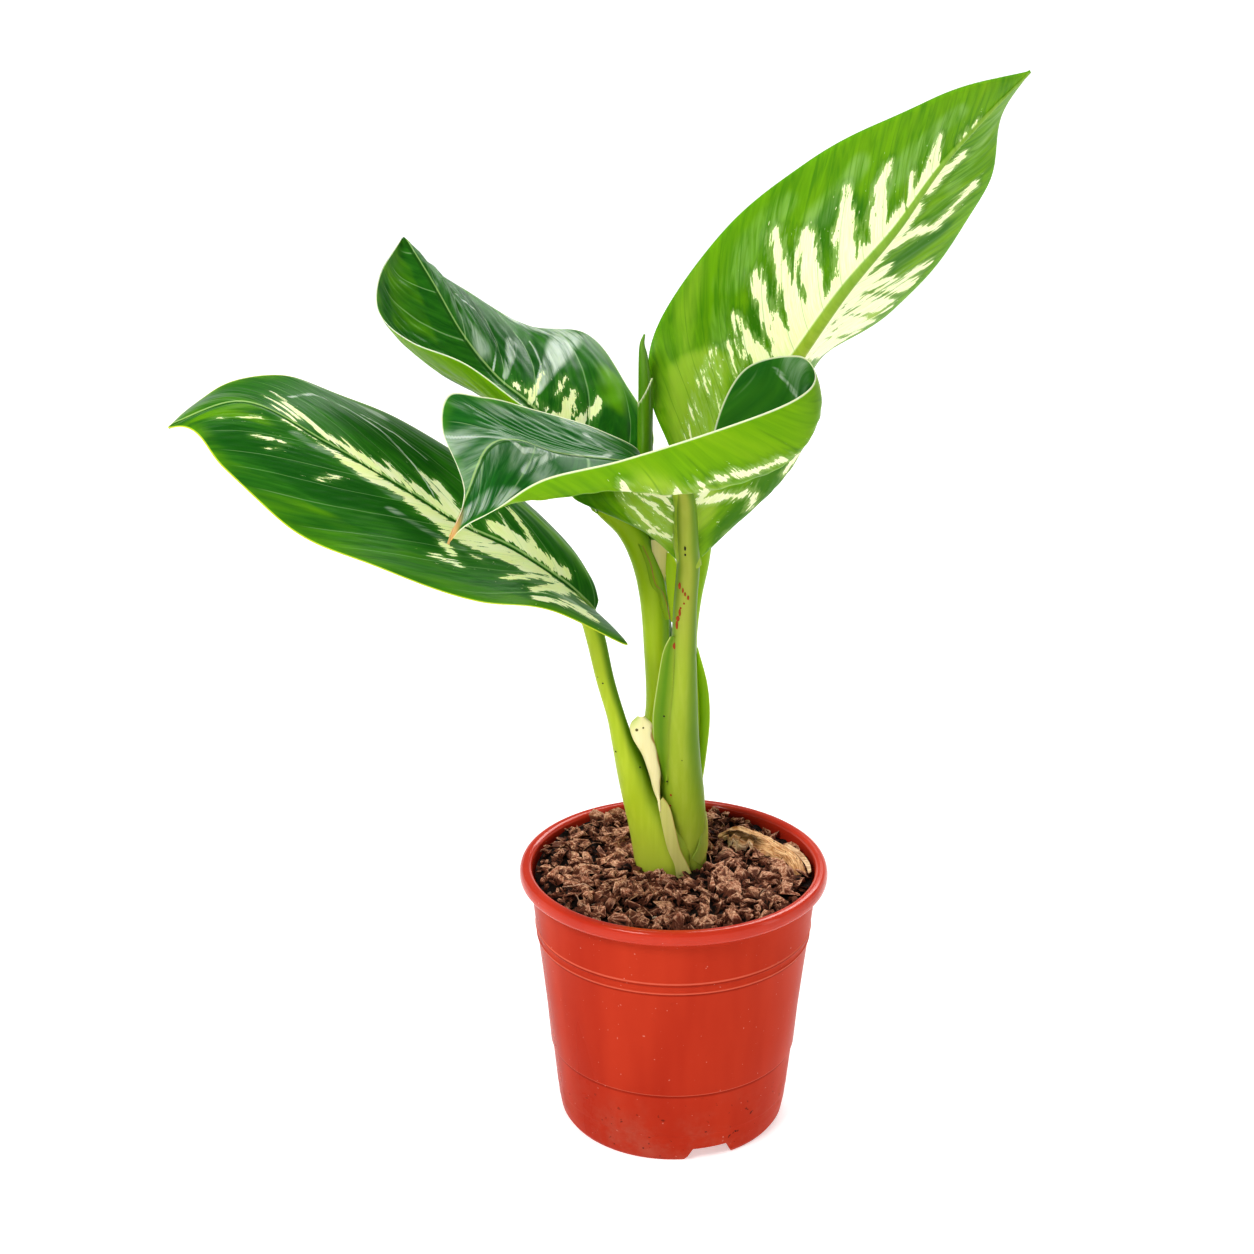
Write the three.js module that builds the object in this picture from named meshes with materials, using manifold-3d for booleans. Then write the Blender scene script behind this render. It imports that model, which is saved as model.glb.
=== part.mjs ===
// Potted dieffenbachia: a young plant of four variegated leaves and one rolled new leaf,
// standing in a glossy red nursery pot. Millimetres, +Z up, front of the plant towards -Y.
import * as THREE from 'three';
import Module from 'manifold-3d';

const wasm = await Module();
wasm.setup();

// ---- driving dimensions -------------------------------------------------------------

const POT_HEIGHT = 116;
const RIM_RADIUS = 65;
const WALL = 1.5;
const POT_SIDES = 56;
const FOOT_RADIUS = 46.9;
const FOOT_RING_WIDTH = 3;
const PANEL_UNDERSIDE = 6.2;
const PANEL_TOP = 7.8;
const NOTCH_COUNT = 3;
const NOTCH_FIRST_AZIMUTH = 18.2;
const NOTCH_HEIGHT = 7;
const DRAIN_HOLES = 6;
const DRAIN_RADIUS = 3.2;
const DRAIN_CIRCLE = 29;

const FIT_GAP = 0.3;
const SOIL_EDGE_HEIGHT = 109.6;
const SOIL_MOUND = 4.4;
const SOIL_MOUND_WIDTH = 24;
const SOIL_LUMP = 0.8;
const SOIL_RINGS = 11;
const SOIL_SIDES = 48;
const STEM_HOLE = { x: -1.5, y: 6.5, rx: 17.7, ry: 15.7, floor: 96 };

const BLADE_HALF_THICKNESS = 0.35;
const BLADE_ROWS = 26;
const BLADE_COLUMNS = [0, 0.045, 0.1, 0.18, 0.34, 0.54, 0.77, 1];
const TIP_STOP = 0.06;
const BASE_REACH = 0.14;
const STALK_SIDES = 16;
const STALK_STEPS = 2;

// ---- what grows ---------------------------------------------------------------------
// A blade is a list of rows from its base to its tip. A row is a point on the left margin,
// one on the midrib and one on the right margin, seen from the base along the upper face,
// and the side veins run from the midrib to the margins within a row. `belly` moves the
// middle of each half off the straight line. A row's fourth point is the middle of its
// left half, where that half folds over. `rib` is the ridge under the midrib: half its
// width and its depth at the base, and the same at the tip.

const BLADES = {
  leaf_1_blade: {
    rib: [3.8, 3.2, 0.8, 0.5],
    belly: [[0, -0.5, 1.6], [2.6, -0.5, 3.4]],
    rows: [
      [[-28, -9, 226], [-33, -7, 230], [-31, -3, 234]],
      [[-20, -22, 222], [-37, -10, 236], [-36, 5, 243]],
      [[-47, -50, 246], [-46, -14, 246], [-48, 14, 257]],
      [[-75, -68, 257], [-64, -20, 261], [-79, 14, 285]],
      [[-110, -78, 273], [-83, -27, 273], [-110, 10, 305]],
      [[-141, -80, 289], [-106, -34, 291], [-139, 1, 321]],
      [[-165, -73, 310], [-132, -39, 309], [-161, -12, 329]],
      [[-178, -62, 321], [-161, -43, 326], [-180, -28, 324]],
      [[-188, -56, 320], [-188, -56, 320], [-188, -56, 320]],
    ],
  },
  leaf_2_blade: {
    rib: [4.7, 4.4, 0.8, 0.5],
    belly: [[0, 0, 0], [-2, -1, -2]],
    rows: [
      [[9, -14, 254], [5, -16, 255], [1, -14, 254], [7, -15, 254]],
      [[16, -2, 274], [3, -18, 264], [-14, -9, 266], [22, -12, 268]],
      [[14, -2, 302], [3, -21, 276], [-41, -4, 278], [39, -16, 287]],
      [[25, -9, 330], [2, -24, 284], [-30, -6, 284], [48, -24, 304]],
      [[45, -26, 340], [0, -28, 292], [-15, -8, 296], [45, -35, 312]],
      [[50, -44, 336], [-7, -32, 298], [-30, -16, 308], [42, -47, 309]],
      [[40, -56, 330], [-16, -36, 301], [-45, -24, 316], [32, -54, 302]],
      [[11, -65, 321], [-30, -41, 304], [-60, -32, 322], [4, -62, 297]],
      [[-21, -70, 312], [-45, -48, 308], [-73, -42, 328], [-27, -66, 299]],
      [[-50, -75, 306], [-59, -56, 315], [-85, -50, 331], [-51, -70, 298]],
      [[-68, -80, 295], [-69, -65, 315], [-87, -60, 320], [-67, -74, 300]],
      [[-78, -83, 291], [-76, -76, 302], [-78, -76, 302], [-76, -79, 295]],
      [[-84, -86, 285], [-84, -86, 285], [-84, -86, 285], [-84, -86, 285]],
    ],
  },
  leaf_3_blade: {
    rib: [4.2, 3.4, 0.8, 0.5],
    belly: [[-4.5, -0.5, -5.5], [2, -1.5, 3.5]],
    rows: [
      [[-32, 4, 269], [-30, 8, 271], [-26, 12, 273]],
      [[-37, 2, 300], [-37, 12, 285], [-13, 32, 288]],
      [[-57, -14, 316], [-48, 16, 298], [-20, 48, 314]],
      [[-81, -10, 332], [-60, 21, 309], [-36, 68, 326]],
      [[-103, 2, 339], [-73, 32, 317], [-61, 80, 328]],
      [[-117, 10, 349], [-86, 36, 333], [-86, 77, 342]],
      [[-116, 24, 362], [-98, 42, 353], [-101, 65, 356]],
      [[-110, 48, 371], [-110, 48, 371], [-110, 48, 371]],
    ],
  },
  leaf_4_blade: {
    rib: [4, 3.6, 0.8, 0.5],
    belly: [[0.2, -0.8, -0.2], [0.3, -1.8, 0]],
    rows: [
      [[15, 15, 259], [12, 11, 263], [9, 8, 266]],
      [[32, 34, 266], [19, 15, 279], [-3, 5, 296]],
      [[49, 53, 290], [31, 17, 303], [-11, 9, 319]],
      [[62, 60, 319], [48, 11, 332], [-7, 17, 343]],
      [[89, 54, 339], [65, 9, 358], [18, 9, 381]],
      [[110, 45, 368], [84, 12, 381], [48, 0, 408]],
      [[122, 33, 395], [99, 8, 405], [79, -8, 426]],
      [[124, 20, 423], [116, 4, 426], [105, -9, 437]],
      [[131, 5, 441], [131, 5, 441], [131, 5, 441]],
    ],
  },
};

// A stalk is a list of stations from the soil upwards: centre x, y, z and the half widths
// across and front to back. The wide lower stations are the sheaths that wrap the stem.
// They are listed from the front inwards: each later one is cut back by those before it.

const STALKS = {
  leaf_2_petiole: [
    [5.5, 4.5, 99, 7.6, 6.6], [5.7, 4.3, 120, 8.4, 6.8], [3.9, 1, 145.5, 8.9, 7], [1.6, -3, 165, 9.2, 7],
    [-0.4, -6, 181.5, 8.8, 6.6], [-0.1, -9.5, 201, 7.8, 6.2], [0.6, -11.5, 211, 6.6, 5.8],
    [3, -13.5, 221, 5, 5.2], [3.6, -14.5, 238, 4.7, 4.8], [4.5, -15.6, 253.2, 4.6, 4.6],
  ],
  leaf_1_petiole: [
    [-3.5, 1.5, 99, 9.6, 7.8], [-4, 1.5, 111, 11.4, 8.8], [-4.6, 1.5, 120, 12.4, 9.2], [-8.7, 1.2, 132.5, 10.4, 8.8],
    [-13.9, 0, 145.5, 7.6, 8], [-17.6, -2, 159.5, 6.4, 7], [-21.4, -4, 173, 4.6, 5.4],
    [-24.3, -5, 185, 3.7, 4.2], [-28.5, -6, 201, 3.7, 3.8], [-32, -6.5, 218, 3.9, 3.6],
    [-34, -7, 229, 3.8, 3.4],
  ],
  leaf_3_petiole: [
    [-5, 13, 99, 5.6, 5], [-5.7, 13, 112, 6.4, 5.5], [-7.1, 11, 140, 6.5, 5.5],
    [-7.3, 8, 168, 6, 5.5], [-6.4, 6, 187, 5.2, 5.4], [-7.4, 4.5, 209.5, 5.1, 5.2],
    [-8.5, 4, 232, 5.5, 5], [-12.3, 6, 248, 5, 4.8], [-18.4, 7.5, 261, 4.9, 4.6],
    [-29.3, 8.5, 270.4, 4.2, 4.2],
  ],
  leaf_4_petiole: [
    [3.5, 14.5, 99, 5.6, 5], [3.7, 14.5, 111, 6.4, 5.5], [5.7, 13, 139, 6.3, 5.6],
    [6.7, 11, 167, 6.3, 5.5], [7.3, 9.5, 184, 6.2, 5.2], [5.9, 9, 199, 5, 5],
    [5.2, 9, 213, 4, 4.6], [6.7, 9.5, 230, 4.1, 4.5], [9.5, 10.5, 245, 4.2, 4.4],
    [12, 11, 262.6, 4, 4],
  ],
  new_leaf_spear: [
    [-2.7, 11, 207, 2.6, 2.6], [-7, 11, 240, 3, 3], [-10.8, 9, 272, 3.1, 3.1],
    [-12.5, 6, 294, 3.1, 3.1], [-12.5, 5, 319, 3, 3], [-13.2, 5, 331, 2.2, 2.2],
    [-13.6, 5, 337, 1.2, 1.2], [-12.6, 5, 341.5, 0.5, 0.5],
  ],
};

// The free tip of leaf 1's sheath, a cream tongue in front of the other stalks.
const LIGULE = {
  spine: [
    [-4.2, -6.4, 128], [-5.6, -6.6, 142], [-7.5, -5.8, 151.7], [-8.2, -6.5, 160.2], [-10.4, -7.5, 169.5],
    [-13.6, -8, 177], [-13.9, -7.6, 181.6], [-13.9, -7.3, 184.4],
  ],
  halfWidths: [1.2, 1.6, 2.2, 2.5, 3.1, 4.3, 3.6, 1.4],
  halfThickness: 0.6,
};

// The dry sheath scrap lies on the soil at the right of the stem.
const SCRAP = {
  spine: [[20, 31, 114], [30, 25, 116], [40, 17, 116.4], [48, 8, 115.6], [52, -2, 114.6], [53, -10, 113.9]],
  halfWidths: [2.2, 5.2, 5.4, 5, 4, 2],
  halfThickness: 0.5,
  arch: 1.6,
};

const COLOURS = {
  pot: [0xd6301f, 0.25],
  soil: [0x4a3427, 0.95],
  dry_sheath_scrap: [0xc9a46a, 0.8],
  stalk: [0x7fae3a, 0.45],
  blade: [0x3f8a26, 0.35],
  ligule: [0xd9cf9a, 0.6],
};

// ---- solids -------------------------------------------------------------------------

const vector = (p) => new THREE.Vector3(p[0], p[1], p[2]);

function geometryOf(points, triangles) {
  const geometry = new THREE.BufferGeometry();
  geometry.setAttribute('position', new THREE.Float32BufferAttribute(points.flatMap((p) => p.toArray()), 3));
  geometry.setIndex(triangles.flat());
  return geometry;
}

function solidOf(geometry) {
  const vertProperties = new Float32Array(geometry.getAttribute('position').array);
  const triVerts = new Uint32Array(geometry.getIndex().array);
  const mesh = new wasm.Mesh({ numProp: 3, vertProperties, triVerts });
  mesh.merge();
  return new wasm.Manifold(mesh);
}

function geometryFrom(solid) {
  const mesh = solid.getMesh();
  const geometry = new THREE.BufferGeometry();
  geometry.setAttribute('position', new THREE.BufferAttribute(new Float32Array(mesh.vertProperties), 3));
  geometry.setIndex(new THREE.BufferAttribute(new Uint32Array(mesh.triVerts), 1));
  return geometry;
}

// The main body of a cut solid, without the slivers that a cut leaves past it.
function largestBody(solid) {
  return solid.decompose().reduce((best, body) => (body.volume() > best.volume() ? body : best));
}

// Closed skin through rings of equal length, with a flat fan over each end.
function loft(rings) {
  const count = rings[0].length;
  const points = rings.flat();
  const triangles = [];
  for (let i = 0; i + 1 < rings.length; i += 1) {
    for (let j = 0; j < count; j += 1) {
      const a = i * count + j;
      const b = i * count + ((j + 1) % count);
      triangles.push([a, b, b + count], [a, b + count, a + count]);
    }
  }
  for (const [ring, flip] of [[0, true], [rings.length - 1, false]]) {
    const centre = points.length;
    const middle = new THREE.Vector3();
    rings[ring].forEach((p) => middle.addScaledVector(p, 1 / count));
    points.push(middle);
    for (let j = 0; j < count; j += 1) {
      const a = ring * count + j;
      const b = ring * count + ((j + 1) % count);
      triangles.push(flip ? [centre, b, a] : [centre, a, b]);
    }
  }
  return geometryOf(points, triangles);
}

// Smooth curve through a list of equally spaced values, at place x counted in values.
function through(values, x) {
  const last = values.length - 1;
  const i = Math.min(Math.max(Math.floor(x), 0), last - 1);
  const f = x - i;
  const mix = (k) => {
    const b = values[i][k];
    const c = values[i + 1][k];
    const a = i > 0 ? values[i - 1][k] : 2 * b - c;
    const d = i + 2 <= last ? values[i + 2][k] : 2 * c - b;
    return 0.5 * (2 * b + (c - a) * f + (2 * a - 5 * b + 4 * c - d) * f * f + (3 * b - a - 3 * c + d) * f ** 3);
  };
  return values[0].map((_, k) => mix(k));
}

// ---- pot ----------------------------------------------------------------------------

// Outer wall from the foot to the rim: a chamfered foot, a step at z 34 and two beads
// at z 86 and z 90 under the plain collar, then the rolled lip.
const OUTER_WALL = [
  [FOOT_RADIUS, 0], [48.2, 2], [49.3, 8], [49.9, 14], [51.4, 28], [52.1, 33.8], [52.5, 34.5],
  [54.1, 52], [55.8, 68], [57.8, 84.2], [58.7, 85.4], [58.2, 87], [58.2, 88.4], [59.1, 89.6],
  [58.7, 91.4], [59.6, 100], [60.6, 107], [61.2, 109.6], [64.4, 110.4], [RIM_RADIUS, 112.6],
  [64.6, 115], [63.4, POT_HEIGHT], [60.8, POT_HEIGHT], [59.6, 115], [59.4, 112],
];
const INNER_TOP = 59.3;
const INNER_FLOOR = FOOT_RADIUS + 0.3;

// Inner radius of the wall at height z, a straight taper.
function innerRadius(z) {
  const share = (z - PANEL_TOP) / (108 - PANEL_TOP);
  return INNER_FLOOR + (INNER_TOP - WALL + 1 - INNER_FLOOR) * Math.min(Math.max(share, 0), 1);
}

function notchCutter(azimuth) {
  const half = (bottomOrTop, r) => r * Math.tan(THREE.MathUtils.degToRad(bottomOrTop));
  const near = FOOT_RADIUS - FOOT_RING_WIDTH - 3;
  const far = FOOT_RADIUS + 4;
  const section = [
    [-half(13.8, FOOT_RADIUS), -1], [half(13.8, FOOT_RADIUS), -1],
    [half(9, FOOT_RADIUS), NOTCH_HEIGHT - 1], [-half(9, FOOT_RADIUS), NOTCH_HEIGHT - 1],
  ];
  const shape = new THREE.Shape(section.map(([x, z]) => new THREE.Vector2(x, z)));
  const cutter = new THREE.ExtrudeGeometry(shape, { depth: far - near, bevelEnabled: false });
  cutter.rotateX(Math.PI / 2);
  cutter.translate(0, -near, 0);
  cutter.rotateZ(THREE.MathUtils.degToRad(azimuth));
  return cutter;
}

function mergedSolid(geometry) {
  geometry.deleteAttribute('normal');
  geometry.deleteAttribute('uv');
  if (!geometry.getIndex()) {
    const count = geometry.getAttribute('position').count;
    geometry.setIndex([...Array(count).keys()]);
  }
  return solidOf(geometry);
}

function buildPot() {
  const foot = FOOT_RADIUS - FOOT_RING_WIDTH;
  const profile = [[0, PANEL_UNDERSIDE], [foot - 1, PANEL_UNDERSIDE], [foot, 0], ...OUTER_WALL];
  profile.push([innerRadius(108), 108], [innerRadius(PANEL_TOP + 2), PANEL_TOP + 2]);
  profile.push([innerRadius(PANEL_TOP) - 2, PANEL_TOP], [0, PANEL_TOP]);
  const lathe = new THREE.LatheGeometry(profile.map(([r, z]) => new THREE.Vector2(r, z)), POT_SIDES);
  lathe.rotateX(Math.PI / 2);
  let pot = mergedSolid(lathe);
  for (let i = 0; i < NOTCH_COUNT; i += 1) {
    pot = pot.subtract(mergedSolid(notchCutter(NOTCH_FIRST_AZIMUTH + (i * 360) / NOTCH_COUNT)));
  }
  for (let i = 0; i < DRAIN_HOLES; i += 1) {
    const drill = new THREE.CylinderGeometry(DRAIN_RADIUS, DRAIN_RADIUS, 10, 10);
    drill.rotateX(Math.PI / 2);
    const angle = ((i + 0.5) / DRAIN_HOLES) * 2 * Math.PI;
    drill.translate(DRAIN_CIRCLE * Math.cos(angle), DRAIN_CIRCLE * Math.sin(angle), PANEL_TOP - 1);
    pot = pot.subtract(mergedSolid(drill));
  }
  return geometryFrom(pot);
}

// ---- soil ---------------------------------------------------------------------------

// Height of the soil: mounded at the stem, with low lumps.
function soilHeight(x, y) {
  const r = Math.hypot(x, y);
  const lumps = Math.sin(0.31 * x + 1.1) * Math.cos(0.27 * y - 0.4) + 0.6 * Math.sin(0.55 * x - 0.43 * y);
  return SOIL_EDGE_HEIGHT + SOIL_MOUND * Math.exp(-((r / SOIL_MOUND_WIDTH) ** 2)) + SOIL_LUMP * lumps;
}

function buildSoil() {
  const ringAt = (r, height) => Array.from({ length: SOIL_SIDES }, (_, j) => {
    const angle = (j / SOIL_SIDES) * 2 * Math.PI;
    const x = r * Math.cos(angle);
    const y = r * Math.sin(angle);
    return new THREE.Vector3(x, y, height ?? soilHeight(x, y));
  });
  const clear = FIT_GAP + 0.15;
  const floor = PANEL_TOP + FIT_GAP;
  const rings = [ringAt(innerRadius(floor) - 2 - clear, floor), ringAt(innerRadius(PANEL_TOP + 2) - clear, PANEL_TOP + 2.5)];
  rings.push(ringAt(innerRadius(104) - clear, 104));
  for (let i = SOIL_RINGS; i >= 1; i -= 1) {
    rings.push(ringAt(((innerRadius(108) - clear) * i) / SOIL_RINGS));
  }
  const hole = new THREE.CylinderGeometry(1, 1, 40, 24);
  hole.rotateX(Math.PI / 2);
  hole.scale(STEM_HOLE.rx, STEM_HOLE.ry, 1);
  hole.translate(STEM_HOLE.x, STEM_HOLE.y, STEM_HOLE.floor + 20);
  return geometryFrom(solidOf(loft(rings)).subtract(mergedSolid(hole)));
}

// ---- leaves -------------------------------------------------------------------------

// Points across one row of a blade, from the left margin over the midrib to the right.
function bladeRow(blade, x) {
  const rows = blade.rows.map((row) => row.flat());
  const values = through(rows, x);
  const [left, rib, right] = [0, 3, 6].map((k) => values.slice(k, k + 3));
  const share = Math.max(x / (rows.length - 1), 0) ** 0.8;
  const swell = Math.sqrt(Math.max(Math.sin(Math.PI * share), 0));
  const middle = (edge, belly) => rib.map((v, k) => (v + edge[k]) / 2 + belly[k] * swell);
  const leftMiddle = values.length > 9 ? values.slice(9, 12) : middle(left, blade.belly[0]);
  const rightMiddle = middle(right, blade.belly[1]);
  const at = (mid, edge, s) => vector(rib.map((v, k) => (
    v * (1 - s) * (1 - 2 * s) + mid[k] * 4 * s * (1 - s) + edge[k] * s * (2 * s - 1)
  )));
  const leftSide = BLADE_COLUMNS.slice(1).reverse().map((s) => at(leftMiddle, left, s));
  return [...leftSide, ...BLADE_COLUMNS.map((s) => at(rightMiddle, right, s))];
}

function bladeGrid(blade, first) {
  const last = blade.rows.length - 1 - TIP_STOP;
  return Array.from({ length: BLADE_ROWS + 1 }, (_, i) => bladeRow(blade, first + (i / BLADE_ROWS) * (last - first)));
}

// Upper-face normals of a grid of points.
function gridNormals(grid) {
  return grid.map((row, i) => row.map((_, j) => {
    const before = grid[Math.max(i - 1, 0)][j];
    const after = grid[Math.min(i + 1, grid.length - 1)][j];
    const left = row[Math.max(j - 1, 0)];
    const right = row[Math.min(j + 1, row.length - 1)];
    return right.clone().sub(left).cross(after.clone().sub(before)).normalize();
  }));
}

// A blade with the ridge of its midrib, `grow` thicker on both faces and longer at the base.
function buildBlade(blade, grow = 0) {
  const grid = bladeGrid(blade, -grow * BASE_REACH);
  const normals = gridNormals(grid);
  const columns = grid[0].length;
  const ribColumn = (columns - 1) / 2;
  const [baseWidth, baseDepth, tipWidth, tipDepth] = blade.rib;
  const upper = [];
  const lower = [];
  grid.forEach((row, i) => {
    const t = i / BLADE_ROWS;
    const width = baseWidth + (tipWidth - baseWidth) * t ** 0.7;
    const depth = baseDepth + (tipDepth - baseDepth) * t ** 0.7;
    row.forEach((point, j) => {
      const away = point.distanceTo(row[ribColumn]) / width;
      const ridge = depth * Math.sqrt(Math.max(1 - away * away, 0));
      upper.push(point.clone().addScaledVector(normals[i][j], BLADE_HALF_THICKNESS + grow));
      lower.push(point.clone().addScaledVector(normals[i][j], -BLADE_HALF_THICKNESS - ridge - grow));
    });
  });
  const offset = upper.length;
  const triangles = [];
  const quad = (a, b, c, d) => triangles.push([a, b, c], [a, c, d]);
  for (let i = 0; i < BLADE_ROWS; i += 1) {
    for (let j = 0; j + 1 < columns; j += 1) {
      const a = i * columns + j;
      quad(a, a + 1, a + 1 + columns, a + columns);
      triangles.push([a + offset, a + 1 + columns + offset, a + 1 + offset]);
      triangles.push([a + offset, a + columns + offset, a + 1 + columns + offset]);
    }
  }
  const rim = [];
  for (let j = 0; j + 1 < columns; j += 1) rim.push([j + 1, j]);
  for (let i = 0; i < BLADE_ROWS; i += 1) rim.push([i * columns, (i + 1) * columns]);
  for (let j = 0; j + 1 < columns; j += 1) rim.push([BLADE_ROWS * columns + j, BLADE_ROWS * columns + j + 1]);
  for (let i = BLADE_ROWS; i > 0; i -= 1) rim.push([(i + 1) * columns - 1, i * columns - 1]);
  rim.forEach(([a, b]) => quad(a, b, b + offset, a + offset));
  return geometryOf([...upper, ...lower], triangles);
}

// ---- stalks -------------------------------------------------------------------------

// A stalk as a skin of elliptical rings square to its centre line, `grow` wider all round.
function buildStalk(stations, grow = 0) {
  const steps = (stations.length - 1) * STALK_STEPS;
  const centres = [];
  const sizes = [];
  for (let i = 0; i <= steps; i += 1) {
    const values = through(stations, i / STALK_STEPS);
    centres.push(vector(values));
    sizes.push([values[3] + grow, values[4] + grow]);
  }
  const rings = centres.map((centre, i) => {
    const along = centres[Math.min(i + 1, steps)].clone().sub(centres[Math.max(i - 1, 0)]).normalize();
    const across = new THREE.Vector3(1, 0, 0).addScaledVector(along, -along.x);
    if (across.length() < 0.6) across.set(0, 0, -1).addScaledVector(along, along.z).multiplyScalar(Math.sign(-along.x));
    across.normalize();
    const back = along.clone().cross(across);
    return Array.from({ length: STALK_SIDES }, (_, j) => {
      const angle = (j / STALK_SIDES) * 2 * Math.PI;
      return centre.clone()
        .addScaledVector(across, sizes[i][0] * Math.cos(angle))
        .addScaledVector(back, sizes[i][1] * Math.sin(angle));
    });
  });
  if (grow > 0) {
    const start = rings[0].map((p) => p.clone().setZ(p.z - 2));
    rings.unshift(start);
  }
  return solidOf(loft(rings));
}

// A thin strip along a spine, arched across its width.
function buildStrip({ spine, halfWidths, halfThickness, arch = 0 }, facing, grow = 0) {
  const across = [-1, -0.5, 0, 0.5, 1];
  const steps = (spine.length - 1) * 3;
  const values = spine.map((p, i) => [...p, halfWidths[i]]);
  const samples = Array.from({ length: steps + 1 }, (_, i) => through(values, i / 3));
  const rings = samples.map((sample, i) => {
    const centre = vector(sample);
    const after = vector(samples[Math.min(i + 1, steps)]);
    const before = vector(samples[Math.max(i - 1, 0)]);
    const along = after.sub(before).normalize();
    const side = along.clone().cross(facing).normalize();
    const out = side.clone().cross(along);
    const place = (s, lift) => centre.clone()
      .addScaledVector(side, s * (sample[3] + grow))
      .addScaledVector(out, lift - arch * s * s);
    const thick = halfThickness + grow;
    return [...across.map((s) => place(s, thick)), ...[...across].reverse().map((s) => place(s, -thick))];
  });
  return solidOf(loft(rings));
}

// ---- the plant ----------------------------------------------------------------------

const plant = new THREE.Group();

function add(name, geometry, [colour, roughness]) {
  const material = new THREE.MeshStandardMaterial({ color: colour, roughness, metalness: 0 });
  const mesh = new THREE.Mesh(geometry, material);
  mesh.name = name;
  plant.add(mesh);
}

add('pot', buildPot(), COLOURS.pot);
add('soil', buildSoil(), COLOURS.soil);

const up = new THREE.Vector3(0, 0, 1);
const front = new THREE.Vector3(0, -1, 0);
add('dry_sheath_scrap', geometryFrom(buildStrip(SCRAP, up)), COLOURS.dry_sheath_scrap);

const taken = Object.values(BLADES).map((blade) => solidOf(buildBlade(blade, FIT_GAP)));
for (const [name, stations] of Object.entries(STALKS)) {
  let solid = buildStalk(stations);
  if (name === 'leaf_1_petiole') solid = solid.add(buildStrip(LIGULE, front));
  taken.forEach((cutter) => { solid = solid.subtract(cutter); });
  add(name, geometryFrom(largestBody(solid)), COLOURS.stalk);
  taken.push(buildStalk(stations, FIT_GAP));
  if (name === 'leaf_1_petiole') taken.push(buildStrip(LIGULE, front, FIT_GAP));
}

for (const [name, blade] of Object.entries(BLADES)) add(name, buildBlade(blade), COLOURS.blade);

// The origin is under the middle of the whole plant, on the surface it stands on.
const box = new THREE.Box3().setFromObject(plant);
plant.position.set(-(box.min.x + box.max.x) / 2, -(box.min.y + box.max.y) / 2, 0);

export default plant;
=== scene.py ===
import math

import bmesh
import bpy
import numpy as np
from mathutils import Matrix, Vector


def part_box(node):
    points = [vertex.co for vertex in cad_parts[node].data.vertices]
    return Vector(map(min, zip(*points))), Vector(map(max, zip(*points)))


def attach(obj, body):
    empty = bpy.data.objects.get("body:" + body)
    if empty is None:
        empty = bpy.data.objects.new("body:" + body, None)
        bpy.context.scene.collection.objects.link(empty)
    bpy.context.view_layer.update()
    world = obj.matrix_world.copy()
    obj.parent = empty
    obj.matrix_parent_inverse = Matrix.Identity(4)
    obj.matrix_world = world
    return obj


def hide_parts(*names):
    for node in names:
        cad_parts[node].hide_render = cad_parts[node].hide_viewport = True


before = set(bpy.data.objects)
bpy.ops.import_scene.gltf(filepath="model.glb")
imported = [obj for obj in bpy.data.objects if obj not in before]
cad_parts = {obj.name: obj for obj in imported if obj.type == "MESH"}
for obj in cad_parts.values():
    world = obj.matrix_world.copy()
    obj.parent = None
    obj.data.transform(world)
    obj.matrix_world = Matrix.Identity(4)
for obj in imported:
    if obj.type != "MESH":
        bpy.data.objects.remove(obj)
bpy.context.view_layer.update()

# Potted dieffenbachia: a young variegated plant in a glossy red pot.
# Everything is planned in millimetres round the pot's axis, with z up from the floor.

MM = 0.001
pot_low, pot_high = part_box("pot")
AXIS = np.array([(pot_low.x + pot_high.x) / 2, (pot_low.y + pot_high.y) / 2, 0.0]) / MM

# ---- small tools --------------------------------------------------------------------


def placed(points):
    """Points in millimetres round the pot's axis, as metres in the frame."""
    return (np.asarray(points, float) + AXIS) * MM


def unit(vectors):
    lengths = np.linalg.norm(vectors, axis=-1, keepdims=True)
    return vectors / np.maximum(lengths, 1e-9)


def circle(sides):
    """Directions evenly spaced round the axis."""
    turn = np.linspace(0, 2 * np.pi, sides, endpoint=False)
    return np.stack([np.cos(turn), np.sin(turn)], axis=1)


def ring(around, radius, height):
    """A level ring of points round the axis."""
    return np.c_[around * radius, np.full(len(around), height)]


def caps(rows, sides):
    """Triangles that close a run of rings at both ends, to the two points after them."""
    start, last = rows * sides, (rows - 1) * sides
    faces = []
    for j in range(sides):
        k = (j + 1) % sides
        faces += [(start, k, j), (start + 1, last + j, last + k)]
    return faces


def smoothstep(low, high, x):
    t = np.clip((x - low) / (high - low), 0, 1)
    return t * t * (3 - 2 * t)


def through(values, x):
    """Smooth curve through equally spaced rows of values, at places x counted in rows."""
    rows = np.asarray(values, float)
    last = len(rows) - 1
    padded = np.concatenate([[2 * rows[0] - rows[1]], rows, [2 * rows[-1] - rows[-2]]])
    x = np.asarray(x, float)
    i = np.clip(np.floor(x).astype(int), 0, last - 1)
    f = (x - i)[:, None]
    a, b, c, d = (padded[i + k] for k in range(4))
    bend = 2 * a - 5 * b + 4 * c - d
    return 0.5 * (2 * b + (c - a) * f + bend * f**2 + (3 * b - a - 3 * c + d) * f**3)


def along_curve(values, t):
    """The smooth curve through rows of values, or single values, at shares t of its run."""
    rows = np.asarray(values, float)
    rows = rows if rows.ndim > 1 else rows[:, None]
    return through(rows, t * (len(rows) - 1))


def lengths_along(points, axis):
    """Distance walked along a grid of points from its first row or column."""
    steps = np.linalg.norm(np.diff(points, axis=axis), axis=-1)
    start = np.zeros_like(np.take(steps, [0], axis=axis))
    return np.concatenate([start, np.cumsum(steps, axis=axis)], axis=axis)


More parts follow.
